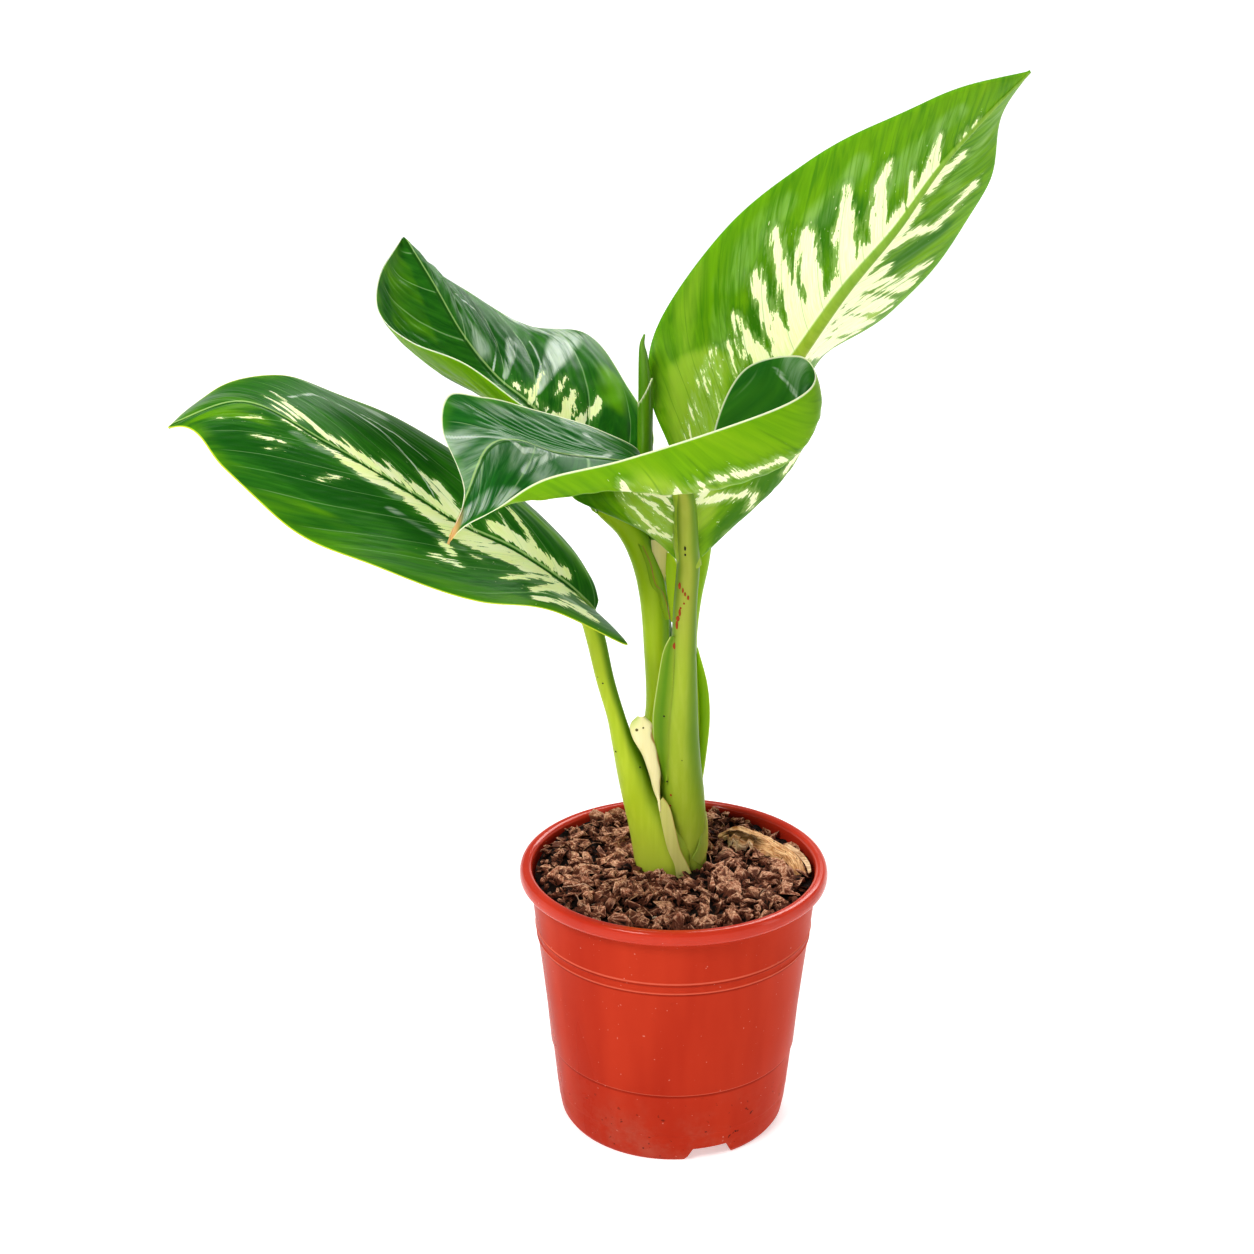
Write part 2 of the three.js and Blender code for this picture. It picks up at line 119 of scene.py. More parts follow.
def grid_faces(rows, columns, start=0, wrap=False, flip=False):
    """Quads of a grid of vertices numbered row by row."""
    j = np.arange(columns if wrap else columns - 1)
    i = np.arange(rows - 1)[:, None]
    a = start + i * columns + j
    b = start + i * columns + (j + 1) % columns
    quads = np.stack([a, b, b + columns, a + columns], axis=-1).reshape(-1, 4)
    return quads[:, ::-1] if flip else quads


def surface_normals(grid):
    """Normals on the upper face's side of a grid that runs left to right, base to tip."""
    return unit(np.cross(np.gradient(grid, axis=1), np.gradient(grid, axis=0)))


def shell_faces(rows, columns):
    """Faces of a thin closed shell: an upper grid, then a lower grid, joined at the rim."""
    count = rows * columns
    faces = [*grid_faces(rows, columns), *grid_faces(rows, columns, start=count, flip=True)]
    rim = [(j + 1, j) for j in range(columns - 1)]
    rim += [(i * columns, (i + 1) * columns) for i in range(rows - 1)]
    rim += [((rows - 1) * columns + j, (rows - 1) * columns + j + 1) for j in range(columns - 1)]
    rim += [((i + 2) * columns - 1, (i + 1) * columns - 1) for i in range(rows - 1)]
    faces += [(a, b, b + count, a + count) for a, b in rim]
    return faces


def shell(upper, lower):
    """The points and faces of a thin closed shell between two grids."""
    points = np.concatenate([upper.reshape(-1, 3), lower.reshape(-1, 3)])
    return points, shell_faces(*upper.shape[:2])


def thickened(grid, half_thickness):
    """The shell that lies round a grid."""
    normals = surface_normals(grid) * half_thickness
    return shell(grid + normals, grid - normals)


def twice(values):
    """Values of a grid, once for the upper and once for the lower face of a shell."""
    return np.tile(values.ravel(), 2)


def piece(name, points, faces, values, material, slot, nodes, uv=None, sharp=50):
    """A mesh of the object: points in millimetres, per-point values for its material."""
    mesh = bpy.data.meshes.new(name)
    faces = [list(map(int, f)) for f in faces]
    mesh.from_pydata(placed(points).tolist(), [], faces)
    for key, data in values.items():
        layer = mesh.attributes.new(key, "FLOAT", "POINT")
        layer.data.foreach_set("value", np.asarray(data, np.float32).ravel())
    if uv is not None:
        layer = mesh.uv_layers.new(name="UVMap")
        corners = np.empty(len(mesh.loops), np.int32)
        mesh.loops.foreach_get("vertex_index", corners)
        layer.data.foreach_set("uv", np.asarray(uv, np.float32)[corners].ravel())
    mesh.validate(clean_customdata=False)
    mesh.polygons.foreach_set("use_smooth", np.ones(len(mesh.polygons), bool))
    mesh.set_sharp_from_angle(angle=math.radians(sharp))
    mesh.materials.append(material)
    thing = bpy.data.objects.new(name, mesh)
    bpy.context.scene.collection.objects.link(thing)
    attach(thing, "root")
    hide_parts(*nodes)
    return thing


def joined(parts):
    """Several (points, faces, values) as one, with their faces renumbered."""
    points, faces, start = [], [], 0
    values = {key: [] for key in parts[0][2]}
    for own_points, own_faces, own_values in parts:
        points.append(own_points)
        faces.extend((np.asarray(f) + start) for f in own_faces)
        for key in values:
            values[key].append(np.broadcast_to(own_values[key], len(own_points)))
        start += len(own_points)
    return np.concatenate(points), faces, {k: np.concatenate(v) for k, v in values.items()}


# ---- materials ----------------------------------------------------------------------


class Shader:
    """One material with a Principled shader, and short words for its nodes."""

    def __init__(self, name, roughness, specular=0.5):
        self.material = bpy.data.materials.new(name)
        self.material.use_nodes = True
        self.tree = self.material.node_tree
        self.main = self.tree.nodes["Principled BSDF"]
        self.main.inputs["Roughness"].default_value = roughness
        self.main.inputs["Specular IOR Level"].default_value = specular

    def node(self, kind, **settings):
        made = self.tree.nodes.new(kind)
        for key, value in settings.items():
            setattr(made, key, value)
        return made

    def feed(self, socket, value):
        if isinstance(value, bpy.types.NodeSocket):
            self.tree.links.new(value, socket)
        elif isinstance(value, tuple) and len(value) == 3 and socket.type == "RGBA":
            socket.default_value = (*value, 1)
        else:
            socket.default_value = value

    def math(self, operation, a, b=0.0):
        made = self.node("ShaderNodeMath", operation=operation)
        self.feed(made.inputs[0], a)
        self.feed(made.inputs[1], b)
        return made.outputs[0]

    def times(self, a, b):
        return self.math("MULTIPLY", a, b)

    def plus(self, a, b):
        return self.math("ADD", a, b)

    def most(self, a, b):
        return self.math("MAXIMUM", a, b)

    def apart(self, a, b):
        """How far two values are from each other."""
        return self.math("ABSOLUTE", self.math("SUBTRACT", a, b))

    def ramp(self, value, low, high, to_low=0.0, to_high=1.0):
        made = self.node("ShaderNodeMapRange", interpolation_type="SMOOTHSTEP")
        for socket, given in zip(made.inputs[:5], (value, low, high, to_low, to_high)):
            self.feed(socket, given)
        return made.outputs[0]

    def mix(self, share, a, b):
        made = self.node("ShaderNodeMix", data_type="RGBA")
        self.feed(made.inputs[0], share)
        self.feed(made.inputs[6], a)
        self.feed(made.inputs[7], b)
        return made.outputs[2]

    def value(self, name):
        return self.node("ShaderNodeAttribute", attribute_name=name).outputs["Fac"]

    def stretched(self, source, scale):
        made = self.node("ShaderNodeMapping")
        self.feed(made.inputs["Vector"], source)
        made.inputs["Scale"].default_value = scale
        return made.outputs[0]

    def coordinates(self, which):
        return self.node("ShaderNodeTexCoord").outputs[which]

    def noise(self, vector, scale, detail, roughness=0.55, distortion=0.0):
        made = self.node("ShaderNodeTexNoise")
        self.feed(made.inputs["Vector"], vector)
        made.inputs["Scale"].default_value = scale
        made.inputs["Detail"].default_value = detail
        made.inputs["Roughness"].default_value = roughness
        made.inputs["Distortion"].default_value = distortion
        return made.outputs["Fac"]

    def drawn(self, vector, scales, *settings):
        """A noise drawn out by its own scale each way."""
        return self.noise(self.stretched(vector, scales), 1.0, *settings)

    def cells(self, vector, scale):
        """The distance to the nearest of many scattered points."""
        made = self.node("ShaderNodeTexVoronoi")
        self.feed(made.inputs["Vector"], vector)
        made.inputs["Scale"].default_value = scale
        return made.outputs["Distance"]

    def height(self, place):
        """The height part of object coordinates."""
        made = self.node("ShaderNodeSeparateXYZ")
        self.feed(made.inputs[0], place)
        return made.outputs[2]

    def centred(self, noise, amount):
        """A noise spread evenly round zero."""
        return self.times(self.math("SUBTRACT", noise, 0.5), amount)

    def bump(self, height, strength, distance):
        made = self.node("ShaderNodeBump")
        made.inputs["Strength"].default_value = strength
        made.inputs["Distance"].default_value = distance
        self.feed(made.inputs["Height"], height)
        self.tree.links.new(made.outputs[0], self.main.inputs["Normal"])

    def colour(self, value):
        self.feed(self.main.inputs["Base Color"], value)

    def roughness(self, value):
        self.feed(self.main.inputs["Roughness"], value)

    def translucent(self, weight, radius, scale):
        self.main.inputs["Subsurface Weight"].default_value = weight
        self.main.inputs["Subsurface Radius"].default_value = radius
        self.main.inputs["Subsurface Scale"].default_value = scale


# ---- pot ----------------------------------------------------------------------------

# Outer wall from the foot to the rim: radius and height of each corner.
OUTER_WALL = [
    (46.9, 0.0), (48.2, 2.0), (49.3, 8.0), (49.8, 12.8), (49.95, 13.3), (51.4, 28.0),
    (52.0, 33.7), (52.1, 34.0), (52.6, 34.3), (54.1, 52.0), (55.8, 68.0), (57.7, 84.6),
    (58.15, 84.9), (58.25, 85.5), (57.95, 85.9), (58.1, 88.4), (58.6, 88.8), (58.75, 89.6),
    (58.45, 90.1), (59.5, 100.0), (60.5, 107.0), (61.0, 109.3), (62.2, 110.0),
    (64.2, 110.3), (64.9, 111.2), (65.0, 112.8), (64.7, 114.4), (64.1, 115.5), (63.1, 116.0),
    (61.2, 116.0), (60.2, 115.5), (59.6, 114.5), (59.4, 112.0), (59.2, 108.0),
]
CORNER_REACH = 0.3
POT_SIDES = 256
POT_SHARP = 35
FOOT_RADIUS = 46.9
FOOT_RING = 3.0
# The bottom panel's two heights, and its underside from the foot ring's inner radius inwards.
PANEL = (6.2, 7.8)
UNDERSIDE = [(-3.4, PANEL[0]), (-1.4, PANEL[0] - 0.4), (-0.2, 1.0), (0.3, 0.0)]
PANEL_CORNER = 2
# The inner wall tapers from a step outside the foot's radius to this radius and height.
INNER_STEP = 0.3
INNER_TOP = (58.8, 108)
INNER_HEIGHTS = (106, 60, 12)
# Foot notches: their azimuths, height, half angles at the bottom and top, and how far they
# reach below the foot, inwards and outwards.
NOTCHES = (18.2, 138.2, 258.2)
NOTCH_HEIGHT = 7.0
NOTCH_HALF_ANGLES = (13.8, 9)
NOTCH_REACH = (2.0, 3, 5)
# Drain holes: how many, how far out, their radius and the heights they are drilled between.
DRAINS, DRAINS_OUT, DRAIN_RADIUS = 6, 29, 3.2
DRAIN_HEIGHTS = (4, 10)
DRAIN_SIDES = 32


def rounded(profile):
    """A profile with each corner cut back to a small arc."""
    points = np.asarray(profile, float)
    out = [points[0]]
    for before, corner, after in zip(points, points[1:], points[2:]):
        sides = [0.35 * np.linalg.norm(end - corner) for end in (before, after)]
        reach = min(CORNER_REACH, *sides)
        first = corner + unit(before - corner) * reach
        second = corner + unit(after - corner) * reach
        out += [first, 0.25 * first + 0.5 * corner + 0.25 * second, second]
    return np.array(out + [points[-1]])


def inner_radius(z):
    share = np.clip((z - PANEL[1]) / (INNER_TOP[1] - PANEL[1]), 0, 1)
    return FOOT_RADIUS + INNER_STEP + (INNER_TOP[0] - FOOT_RADIUS - INNER_STEP) * share


def cut(thing, cutters):
    """Takes cutters, lists of (points, faces), out of a piece."""
    for number, (points, faces) in enumerate(cutters):
        mesh = bpy.data.meshes.new(f"cutter_{number}")
        mesh.from_pydata(placed(points).tolist(), [], faces)
        cutter = bpy.data.objects.new(mesh.name, mesh)
        bpy.context.scene.collection.objects.link(cutter)
        modifier = thing.modifiers.new("cut", "BOOLEAN")
        modifier.operation = "DIFFERENCE"
        modifier.solver = "EXACT"
        modifier.object = cutter
        graph = bpy.context.evaluated_depsgraph_get()
        result = bpy.data.meshes.new_from_object(thing.evaluated_get(graph))
        thing.modifiers.clear()
        thing.data = result
        bpy.data.objects.remove(cutter)


def box_through(corners_near, corners_far):
    points = np.concatenate([corners_near, corners_far])
    faces = [(3, 2, 1, 0), (4, 5, 6, 7), (0, 1, 5, 4), (1, 2, 6, 5), (2, 3, 7, 6), (3, 0, 4, 7)]
    return points, faces


def notch(azimuth):
    a = math.radians(azimuth)
    out = np.array([math.sin(a), -math.cos(a), 0.0])
    side = np.array([math.cos(a), math.sin(a), 0.0])
    low, high = (FOOT_RADIUS * math.tan(math.radians(angle)) for angle in NOTCH_HALF_ANGLES)
    below, inwards, outwards = NOTCH_REACH
    top = NOTCH_HEIGHT - 1
    corners = [side * x + np.array([0, 0, z]) for x, z in
               ((-low, -below), (low, -below), (high, top), (-high, top))]
    near = [corner + out * (FOOT_RADIUS - FOOT_RING - inwards) for corner in corners]
    far = [corner + out * (FOOT_RADIUS + outwards) for corner in corners]
    return box_through(near, far)


def drain(angle):
    """A drill for one drain hole."""
    middle = [DRAINS_OUT * math.cos(angle), DRAINS_OUT * math.sin(angle), 0]
    around = circle(DRAIN_SIDES)
    points = np.concatenate([ring(around, DRAIN_RADIUS, z) + middle for z in DRAIN_HEIGHTS])
    numbers = list(range(2 * DRAIN_SIDES))
    ends = [numbers[:DRAIN_SIDES][::-1], numbers[DRAIN_SIDES:]]
    return points, ends + grid_faces(2, DRAIN_SIDES, wrap=True).tolist()


# Heights in metres of the ledge and grooves where a painted highlight line lies on the wall,
# and how far below each its painted shadow lies.
WALL_LINES = (0.0342, 0.0853, 0.0899)
SHADOW_DROP = 0.0009
# The rim's own plastic starts at this height and shines more. Of each plastic: its darker and
# lighter red, its specular level and the roughness where it is least worn.
RIM_FROM = 109.4
WALL_PLASTIC = ((0.40, 0.034, 0.0150), (0.49, 0.050, 0.0210), 0.02, 0.22)
RIM_PLASTIC = ((0.47, 0.034, 0.0150), (0.55, 0.047, 0.0205), 0.28, 0.08)


def red_plastic(name, low, high, specular, gloss):
    look = Shader(name, 0.18, specular)
    place = look.coordinates("Object")
    height = look.height(place)
    drift = look.drawn(place, (34.0, 34.0, 5.0), 3)
    red = look.mix(look.ramp(drift, 0.3, 0.7), low, high)
    for line in WALL_LINES:
        # A painted highlight line on each ledge, and a painted shadow just below it.
        painted_highlight = look.ramp(look.apart(height, line), 0.0005, 0.0001, 0.0, 0.45)
        red = look.mix(painted_highlight, red, (0.80, 0.22, 0.14))
        painted_shadow = look.ramp(look.apart(height, line - SHADOW_DROP), 0.0008, 0.0003, 0.0, 0.40)
        red = look.mix(painted_shadow, red, (0.16, 0.008, 0.003))
    # Grime and dark specks gather low on the wall, and pale dust lies everywhere.
    low_band = look.ramp(height, 0.040, 0.006)
    grime = look.times(look.ramp(look.noise(place, 60.0, 5, 0.7), 0.42, 0.75), low_band)
    red = look.mix(look.times(grime, 0.45), red, (0.42, 0.13, 0.09))
    specks = look.ramp(look.noise(place, 430.0, 2, 0.5), 0.69, 0.72)
    share = look.plus(look.times(low_band, 0.9), 0.04)
    red = look.mix(look.times(specks, share), red, (0.030, 0.014, 0.010))
    dust = look.ramp(look.noise(place, 700.0, 1, 0.5), 0.765, 0.79)
    look.colour(look.mix(look.times(dust, 0.35), red, (0.75, 0.45, 0.38)))
    worn = look.plus(look.times(drift, 0.14), gloss)
    look.roughness(look.plus(look.times(grime, 0.35), worn))
    look.bump(look.noise(place, 90.0, 2, 0.5), 0.06, 0.0006)
    return look.material


def build_pot():
    foot = FOOT_RADIUS - FOOT_RING
    under = [(foot + x, z) for x, z in UNDERSIDE]
    inner = [(inner_radius(z), z) for z in INNER_HEIGHTS]
    inner += [(inner_radius(PANEL[1]) - PANEL_CORNER, PANEL[1])]
    profile = np.concatenate([under, rounded(OUTER_WALL), inner])
    around = circle(POT_SIDES)
    rings = [ring(around, r, z) for r, z in profile]
    points = np.concatenate([*rings, [[0, 0, z] for z in PANEL]])
    faces = [*grid_faces(len(profile), POT_SIDES, wrap=True), *caps(len(profile), POT_SIDES)]
    wall = red_plastic("red_plastic", *WALL_PLASTIC)
    pot = piece("pot_shell", points, faces, {}, wall, "red_plastic", ["pot"], sharp=POT_SHARP)
    pot.data.materials.append(red_plastic("red_plastic_rim", *RIM_PLASTIC))
    for polygon in pot.data.polygons:
        if polygon.center.z > RIM_FROM * MM:
            polygon.material_index = 1
    drains = [drain((i + 0.5) / DRAINS * 2 * math.pi) for i in range(DRAINS)]
    cut(pot, [notch(a) for a in NOTCHES] + drains)
    pot.data.set_sharp_from_angle(angle=math.radians(POT_SHARP))


# ---- soil ---------------------------------------------------------------------------

# The top of the soil: its height at the edge, a mound in the middle and how wide that is, a
# bank towards the back left, where the bank starts and ends, and how lumpy it all is.
SOIL_EDGE = 111.7
SOIL_MOUND, SOIL_MOUND_WIDTH = 3.0, 24
SOIL_BANK, BANK_START, BANK_END = 2.4, 12, 56
BANK_TOWARDS = (-0.37, 0.93)
SOIL_LUMPS = 1.1
SOIL_RADIUS = 58.3
SOIL_SIDES = 180
# The bed under the chips: its rings of points, the first one's radius, how far it lies below
# the top, and the heights and share of the pot's inner radius that its side is made of.
BED_RINGS, BED_MIDDLE, BED_DROP = 60, 0.4, 1.3
BED_SIDE_HEIGHTS, BED_SIDE_SHARE = (100.0, 12.0), 0.99
# The bed is painted near black, as painted shade in the gaps between the chips.
BED_SHADE = {"tint": 0.1, "rise": -0.55}
# The foot of the plant, where no chips lie: its centre and its reach across and back.
STEM_FOOT = (-1.5, 6.5)
STEM_REACH = (15.5, 13.5)
# Lumps of bark: how many, their typical length, how much that varies and how deep they sit.
LUMPS = [(420, 11.0, 0.28, 0.12), (850, 6.5, 0.30, 0.16), (1000, 3.2, 0.28, 0.3)]
PALE_SHARE = 0.04
CHIP_CORNERS = 13
STRAWS = 75
STRAW_STEPS, STRAW_SIDES = 7, 5
TURN = 2 * math.pi
rng = np.random.default_rng(20)


def soil_height(x, y):
    lumps = np.sin(0.31 * x + 1.1) * np.cos(0.27 * y - 0.4) + 0.6 * np.sin(0.55 * x - 0.43 * y)
    towards = BANK_TOWARDS[0] * x + BANK_TOWARDS[1] * y
    bank = SOIL_BANK * smoothstep(BANK_START, BANK_END, towards)
    mound = SOIL_MOUND * np.exp(-((np.hypot(x, y) / SOIL_MOUND_WIDTH) ** 2))
    return SOIL_EDGE + mound + bank + SOIL_LUMPS * lumps


def soil_mix():
    look = Shader("bark_mix", 0.7, 0.12)
    place = look.coordinates("Object")
    tint = look.value("tint")
    grain = look.noise(look.stretched(place, (1.0, 1.6, 0.7)), 900.0, 5, 0.7)
    patches = look.noise(place, 260.0, 3, 0.6)
    # Painted light: near black as painted shade low down and in the gaps, brown above, and a pale painted
    # highlight on raised edges, each shifted by the chip's own tint.
    gap_shade = look.mix(grain, (0.0035, 0.0022, 0.0020), (0.018, 0.0090, 0.0070))
    brown = look.mix(grain, (0.034, 0.0110, 0.0065), (0.24, 0.080, 0.044))
    ridge = look.mix(look.ramp(grain, 0.4, 0.65), (0.40, 0.145, 0.080), (1.0, 0.64, 0.43))
    pale = look.mix(grain, (0.50, 0.34, 0.20), (0.92, 0.80, 0.66))
    rise = look.plus(look.value("rise"), look.centred(patches, 1.6))
    rise = look.plus(rise, look.times(look.math("SUBTRACT", tint, 0.4), 0.8))
    base = look.mix(look.ramp(rise, -0.35, 0.20), gap_shade, brown)
    base = look.mix(look.times(look.ramp(rise, 0.40, 0.95), 0.9), base, ridge)
    look.colour(look.mix(look.ramp(tint, 0.86, 0.97), base, pale))
    look.roughness(look.ramp(grain, 0.3, 0.8, 0.45, 0.9))
    look.bump(look.noise(place, 1300.0, 6, 0.75), 0.8, 0.0008)
    return look.material


def mesh_lists(mesh):
    """The points and faces of an edited mesh, which is then freed."""
    mesh.verts.index_update()
    points = np.array([v.co[:] for v in mesh.verts])
    faces = [[v.index for v in f.verts] for f in mesh.faces]
    mesh.free()
    return points, faces


def bark_chip(centre, size, turn, tint, seed):
    """A flake of bark: the hull of a few points, each of its faces dished to its middle."""
    own = np.random.default_rng(seed)
    mesh = bmesh.new()
    directions = unit(own.normal(size=(CHIP_CORNERS, 3)))
    for corner in directions * own.uniform(0.82, 1.0, (CHIP_CORNERS, 1)):
        mesh.verts.new(corner)
    bmesh.ops.convex_hull(mesh, input=mesh.verts)
    bmesh.ops.delete(mesh, geom=[v for v in mesh.verts if not v.link_faces], context="VERTS")
    bmesh.ops.recalc_face_normals(mesh, faces=mesh.faces)
    corners, hull = mesh_lists(mesh)
    hull = np.array(hull)
    middles = corners[hull].mean(axis=1) * own.uniform(0.80, 1.02, (len(hull), 1))
    hub = len(corners) + np.arange(len(hull))
    faces = np.concatenate([np.c_[hull[:, k], hull[:, (k + 1) % 3], hub] for k in range(3)])
    points = (np.concatenate([corners, middles]) * np.asarray(size) / 2) @ turn.T + centre
    # Painted light: points high above the soil and the hull's corners are painted towards highlight, low
    # points and the dished middles of faces towards painted shade.
    above = points[:, 2] - soil_height(points[:, 0], points[:, 1])
    edge = np.r_[np.ones(len(corners)), np.zeros(len(middles))]
    rise = np.clip(above / 2.4 - 0.50 + 0.78 * edge, -1, 1.2)
    return points, faces, {"tint": tint, "rise": rise}


def ball(levels):
    mesh = bmesh.new()
    bmesh.ops.create_icosphere(mesh, subdivisions=levels, radius=1.0)
    return mesh_lists(mesh)


BALL_POINTS, BALL_FACES = ball(2)


def turned(yaw, pitch, roll):
    cy, sy, cp, sp, cr, sr = (f(a) for a in (yaw, pitch, roll) for f in (math.cos, math.sin))
    about_z = np.array([[cy, -sy, 0], [sy, cy, 0], [0, 0, 1]])
    about_y = np.array([[cp, 0, sp], [0, 1, 0], [-sp, 0, cp]])
    about_x = np.array([[1, 0, 0], [0, cr, -sr], [0, sr, cr]])
    return about_z @ about_y @ about_x


def straw(start, heading, length, thick, tint, bend):
    """A thin curved tube that follows the soil."""
    s = np.linspace(0, 1, STRAW_STEPS)
    yaw = heading + bend * (s - 0.5)
    run = np.cumsum(np.c_[np.cos(yaw), np.sin(yaw)], axis=0) * length / STRAW_STEPS
    x, y = start[0] + run[:, 0], start[1] + run[:, 1]
    z = soil_height(x, y) + 1.9 + start[2] + 1.2 * np.sin(np.pi * s)
    radius = thick / 2 * (1 - 0.5 * np.abs(2 * s - 1) ** 3)
    side = np.c_[-np.sin(yaw), np.cos(yaw), np.zeros(STRAW_STEPS)]
    out, up = circle(STRAW_SIDES).T[..., None]
    spokes = side[:, None] * out + np.array([0, 0, 1.0]) * up
    rings = np.c_[x, y, z][:, None] + radius[:, None, None] * spokes
    faces = list(grid_faces(STRAW_STEPS, STRAW_SIDES, wrap=True))
    faces += [range(STRAW_SIDES)[::-1], range((STRAW_STEPS - 1) * STRAW_SIDES, STRAW_STEPS * STRAW_SIDES)]
    # A straw takes a middling painted light, between painted shade and highlight.
    return rings.reshape(-1, 3), faces, {"tint": tint, "rise": 0.35}


def off_the_stem(x, y, clear):
    across = (x - STEM_FOOT[0]) / (STEM_REACH[0] + clear)
    back = (y - STEM_FOOT[1]) / (STEM_REACH[1] + clear)
    return across**2 + back**2 > 1


def soil_bed(material):
    radii = np.linspace(BED_MIDDLE, SOIL_RADIUS, BED_RINGS)
    around = circle(SOIL_SIDES)
    x, y = (radii[:, None] * part for part in around.T)
    rings = [np.stack([x, y, soil_height(x, y) - BED_DROP], axis=-1).reshape(-1, 3)]
    rings += [ring(around, inner_radius(z) * BED_SIDE_SHARE, z) for z in BED_SIDE_HEIGHTS]
    points = np.concatenate(rings)
    rows = len(points) // SOIL_SIDES
    faces = list(grid_faces(rows, SOIL_SIDES, wrap=True, flip=True))
    faces += [range(SOIL_SIDES), range((rows - 1) * SOIL_SIDES, rows * SOIL_SIDES)[::-1]]
    piece("soil_bed", *joined([(points, faces, BED_SHADE)]), material, "soil", ["soil"])


def bark_lumps(count, typical, spread, depth):
    chips = []
    while len(chips) < count:
        r = SOIL_RADIUS * math.sqrt(rng.uniform(0, 1))
        a = rng.uniform(0, TURN)
        length = typical * float(np.clip(rng.lognormal(0, spread), 0.6, 1.6))
        x, y = r * math.cos(a), r * math.sin(a)
        if r + length * 0.30 > SOIL_RADIUS + 0.3 or not off_the_stem(x, y, length * 0.2):
            continue
        size = (length, length * rng.uniform(0.45, 0.9), length * rng.uniform(0.18, 0.45))
        turn = turned(rng.uniform(0, TURN), rng.normal(0, 0.5), rng.normal(0, 0.7))
        z = soil_height(x, y) + rng.uniform(-1.6, 1.3) - depth * length * 0.5
        tint = float(np.clip(rng.beta(1.7, 2.3), 0, 0.84))
        if rng.uniform() < PALE_SHARE and typical < 5:
            tint = rng.uniform(0.88, 1.0)
            size = tuple(0.5 * v for v in size)
        seed = int(rng.integers(1 << 30))
        chips.append(bark_chip(np.array([x, y, z]), size, turn, tint, seed))
    return chips


def soil_straws():
    straws = []
    while len(straws) < STRAWS:
        r = (SOIL_RADIUS - 9) * math.sqrt(rng.uniform(0.03, 1))
        a = rng.uniform(0, TURN)
        length = rng.uniform(5, 16)
        heading = rng.uniform(0, TURN)
        x, y = r * math.cos(a), r * math.sin(a)
        end = (x + length * math.cos(heading), y + length * math.sin(heading))
        inside = math.hypot(*end) <= SOIL_RADIUS - 3
        if not (inside and off_the_stem(*end, 1) and off_the_stem(x, y, 1)):
            continue
        start = (x, y, rng.uniform(-0.6, 0.9))
        thick = rng.uniform(0.25, 0.6)
        tint = rng.uniform(0.2, 0.93)
        straws.append(straw(start, heading, length, thick, tint, rng.normal(0, 0.5)))
    return straws


def build_soil():
    material = soil_mix()
    soil_bed(material)
    chips = [chip for kind in LUMPS for chip in bark_lumps(*kind)]
    piece("soil_chips", *joined(chips), material, "soil", ["soil"], sharp=32)
    piece("soil_straws", *joined(soil_straws()), material, "soil", ["soil"])


# ---- dry sheath scrap ---------------------------------------------------------------

# A curled strip of old sheath: where its bed runs, its half width and how high it arches.
SCRAP_BED = [
    (20.5, 28.5, 112.6), (28, 25.5, 112.2), (37, 20, 111.8), (45, 12.5, 111.6), (51, 4, 111.5),
    (53.5, -6, 111.6),
]
SCRAP_HALF_WIDTHS = [1.8, 5.6, 6.0, 4.2, 3.8, 2.6]
SCRAP_ARCH = [2.2, 6.4, 6.2, 5.2, 4.2, 1.0]
SCRAP_CURL = math.radians(82)
SCRAP_HALF_THICKNESS = 0.25
SCRAP_GRID = (160, 41)
# Torn ribbons beside it, each between two lines of points, and their grid.
SCRAP_RIBBONS = [
    ([(47, 15, 115.8), (52, 8, 115.6), (55.5, 0, 114.6), (56.5, -6, 113.4)],
     [(49, 16, 116.6), (54.2, 9, 116), (57.4, 1, 114.8), (57.8, -5, 113.6)]),
    ([(24, 22.5, 113), (25, 20.5, 114), (26, 18.5, 113.4), (27, 16.5, 112.4)],
     [(25.4, 23, 113), (26.6, 21, 114.2), (27.4, 19, 113.6), (27.6, 16.5, 112.4)]),
]
RIBBON_GRID = (40, 6)


def dry_tan():
    look = Shader("dry_sheath", 0.6, 0.15)
    where = look.coordinates("UV")
    fibres = look.ramp(look.drawn(where, (11.0, 110.0, 1.0), 5, 0.65, 0.8), 0.30, 0.70)
    blotches = look.noise(where, 9.0, 4, 0.6)
    tan = look.mix(fibres, (0.36, 0.120, 0.030), (1.0, 0.66, 0.36))
    tan = look.mix(look.ramp(blotches, 0.5, 0.75), tan, (0.46, 0.18, 0.045))
    # Painted shade inside the hollow of the curl.
    hollow = look.mix(fibres, (0.035, 0.016, 0.006), (0.20, 0.10, 0.026))
    fringe = look.mix(fibres, (0.34, 0.18, 0.09), (0.96, 0.74, 0.50))
    tan = look.mix(look.value("hollow"), tan, hollow)
    tan = look.mix(look.value("fringe"), tan, fringe)
    holes = look.ramp(look.noise(where, 38.0, 1, 0.4), 0.73, 0.76)
    look.colour(look.mix(holes, tan, (0.05, 0.03, 0.02)))
    look.bump(fibres, 0.5, 0.0006)
    look.translucent(0.15, (1.0, 0.7, 0.4), 0.001)
    return look.material


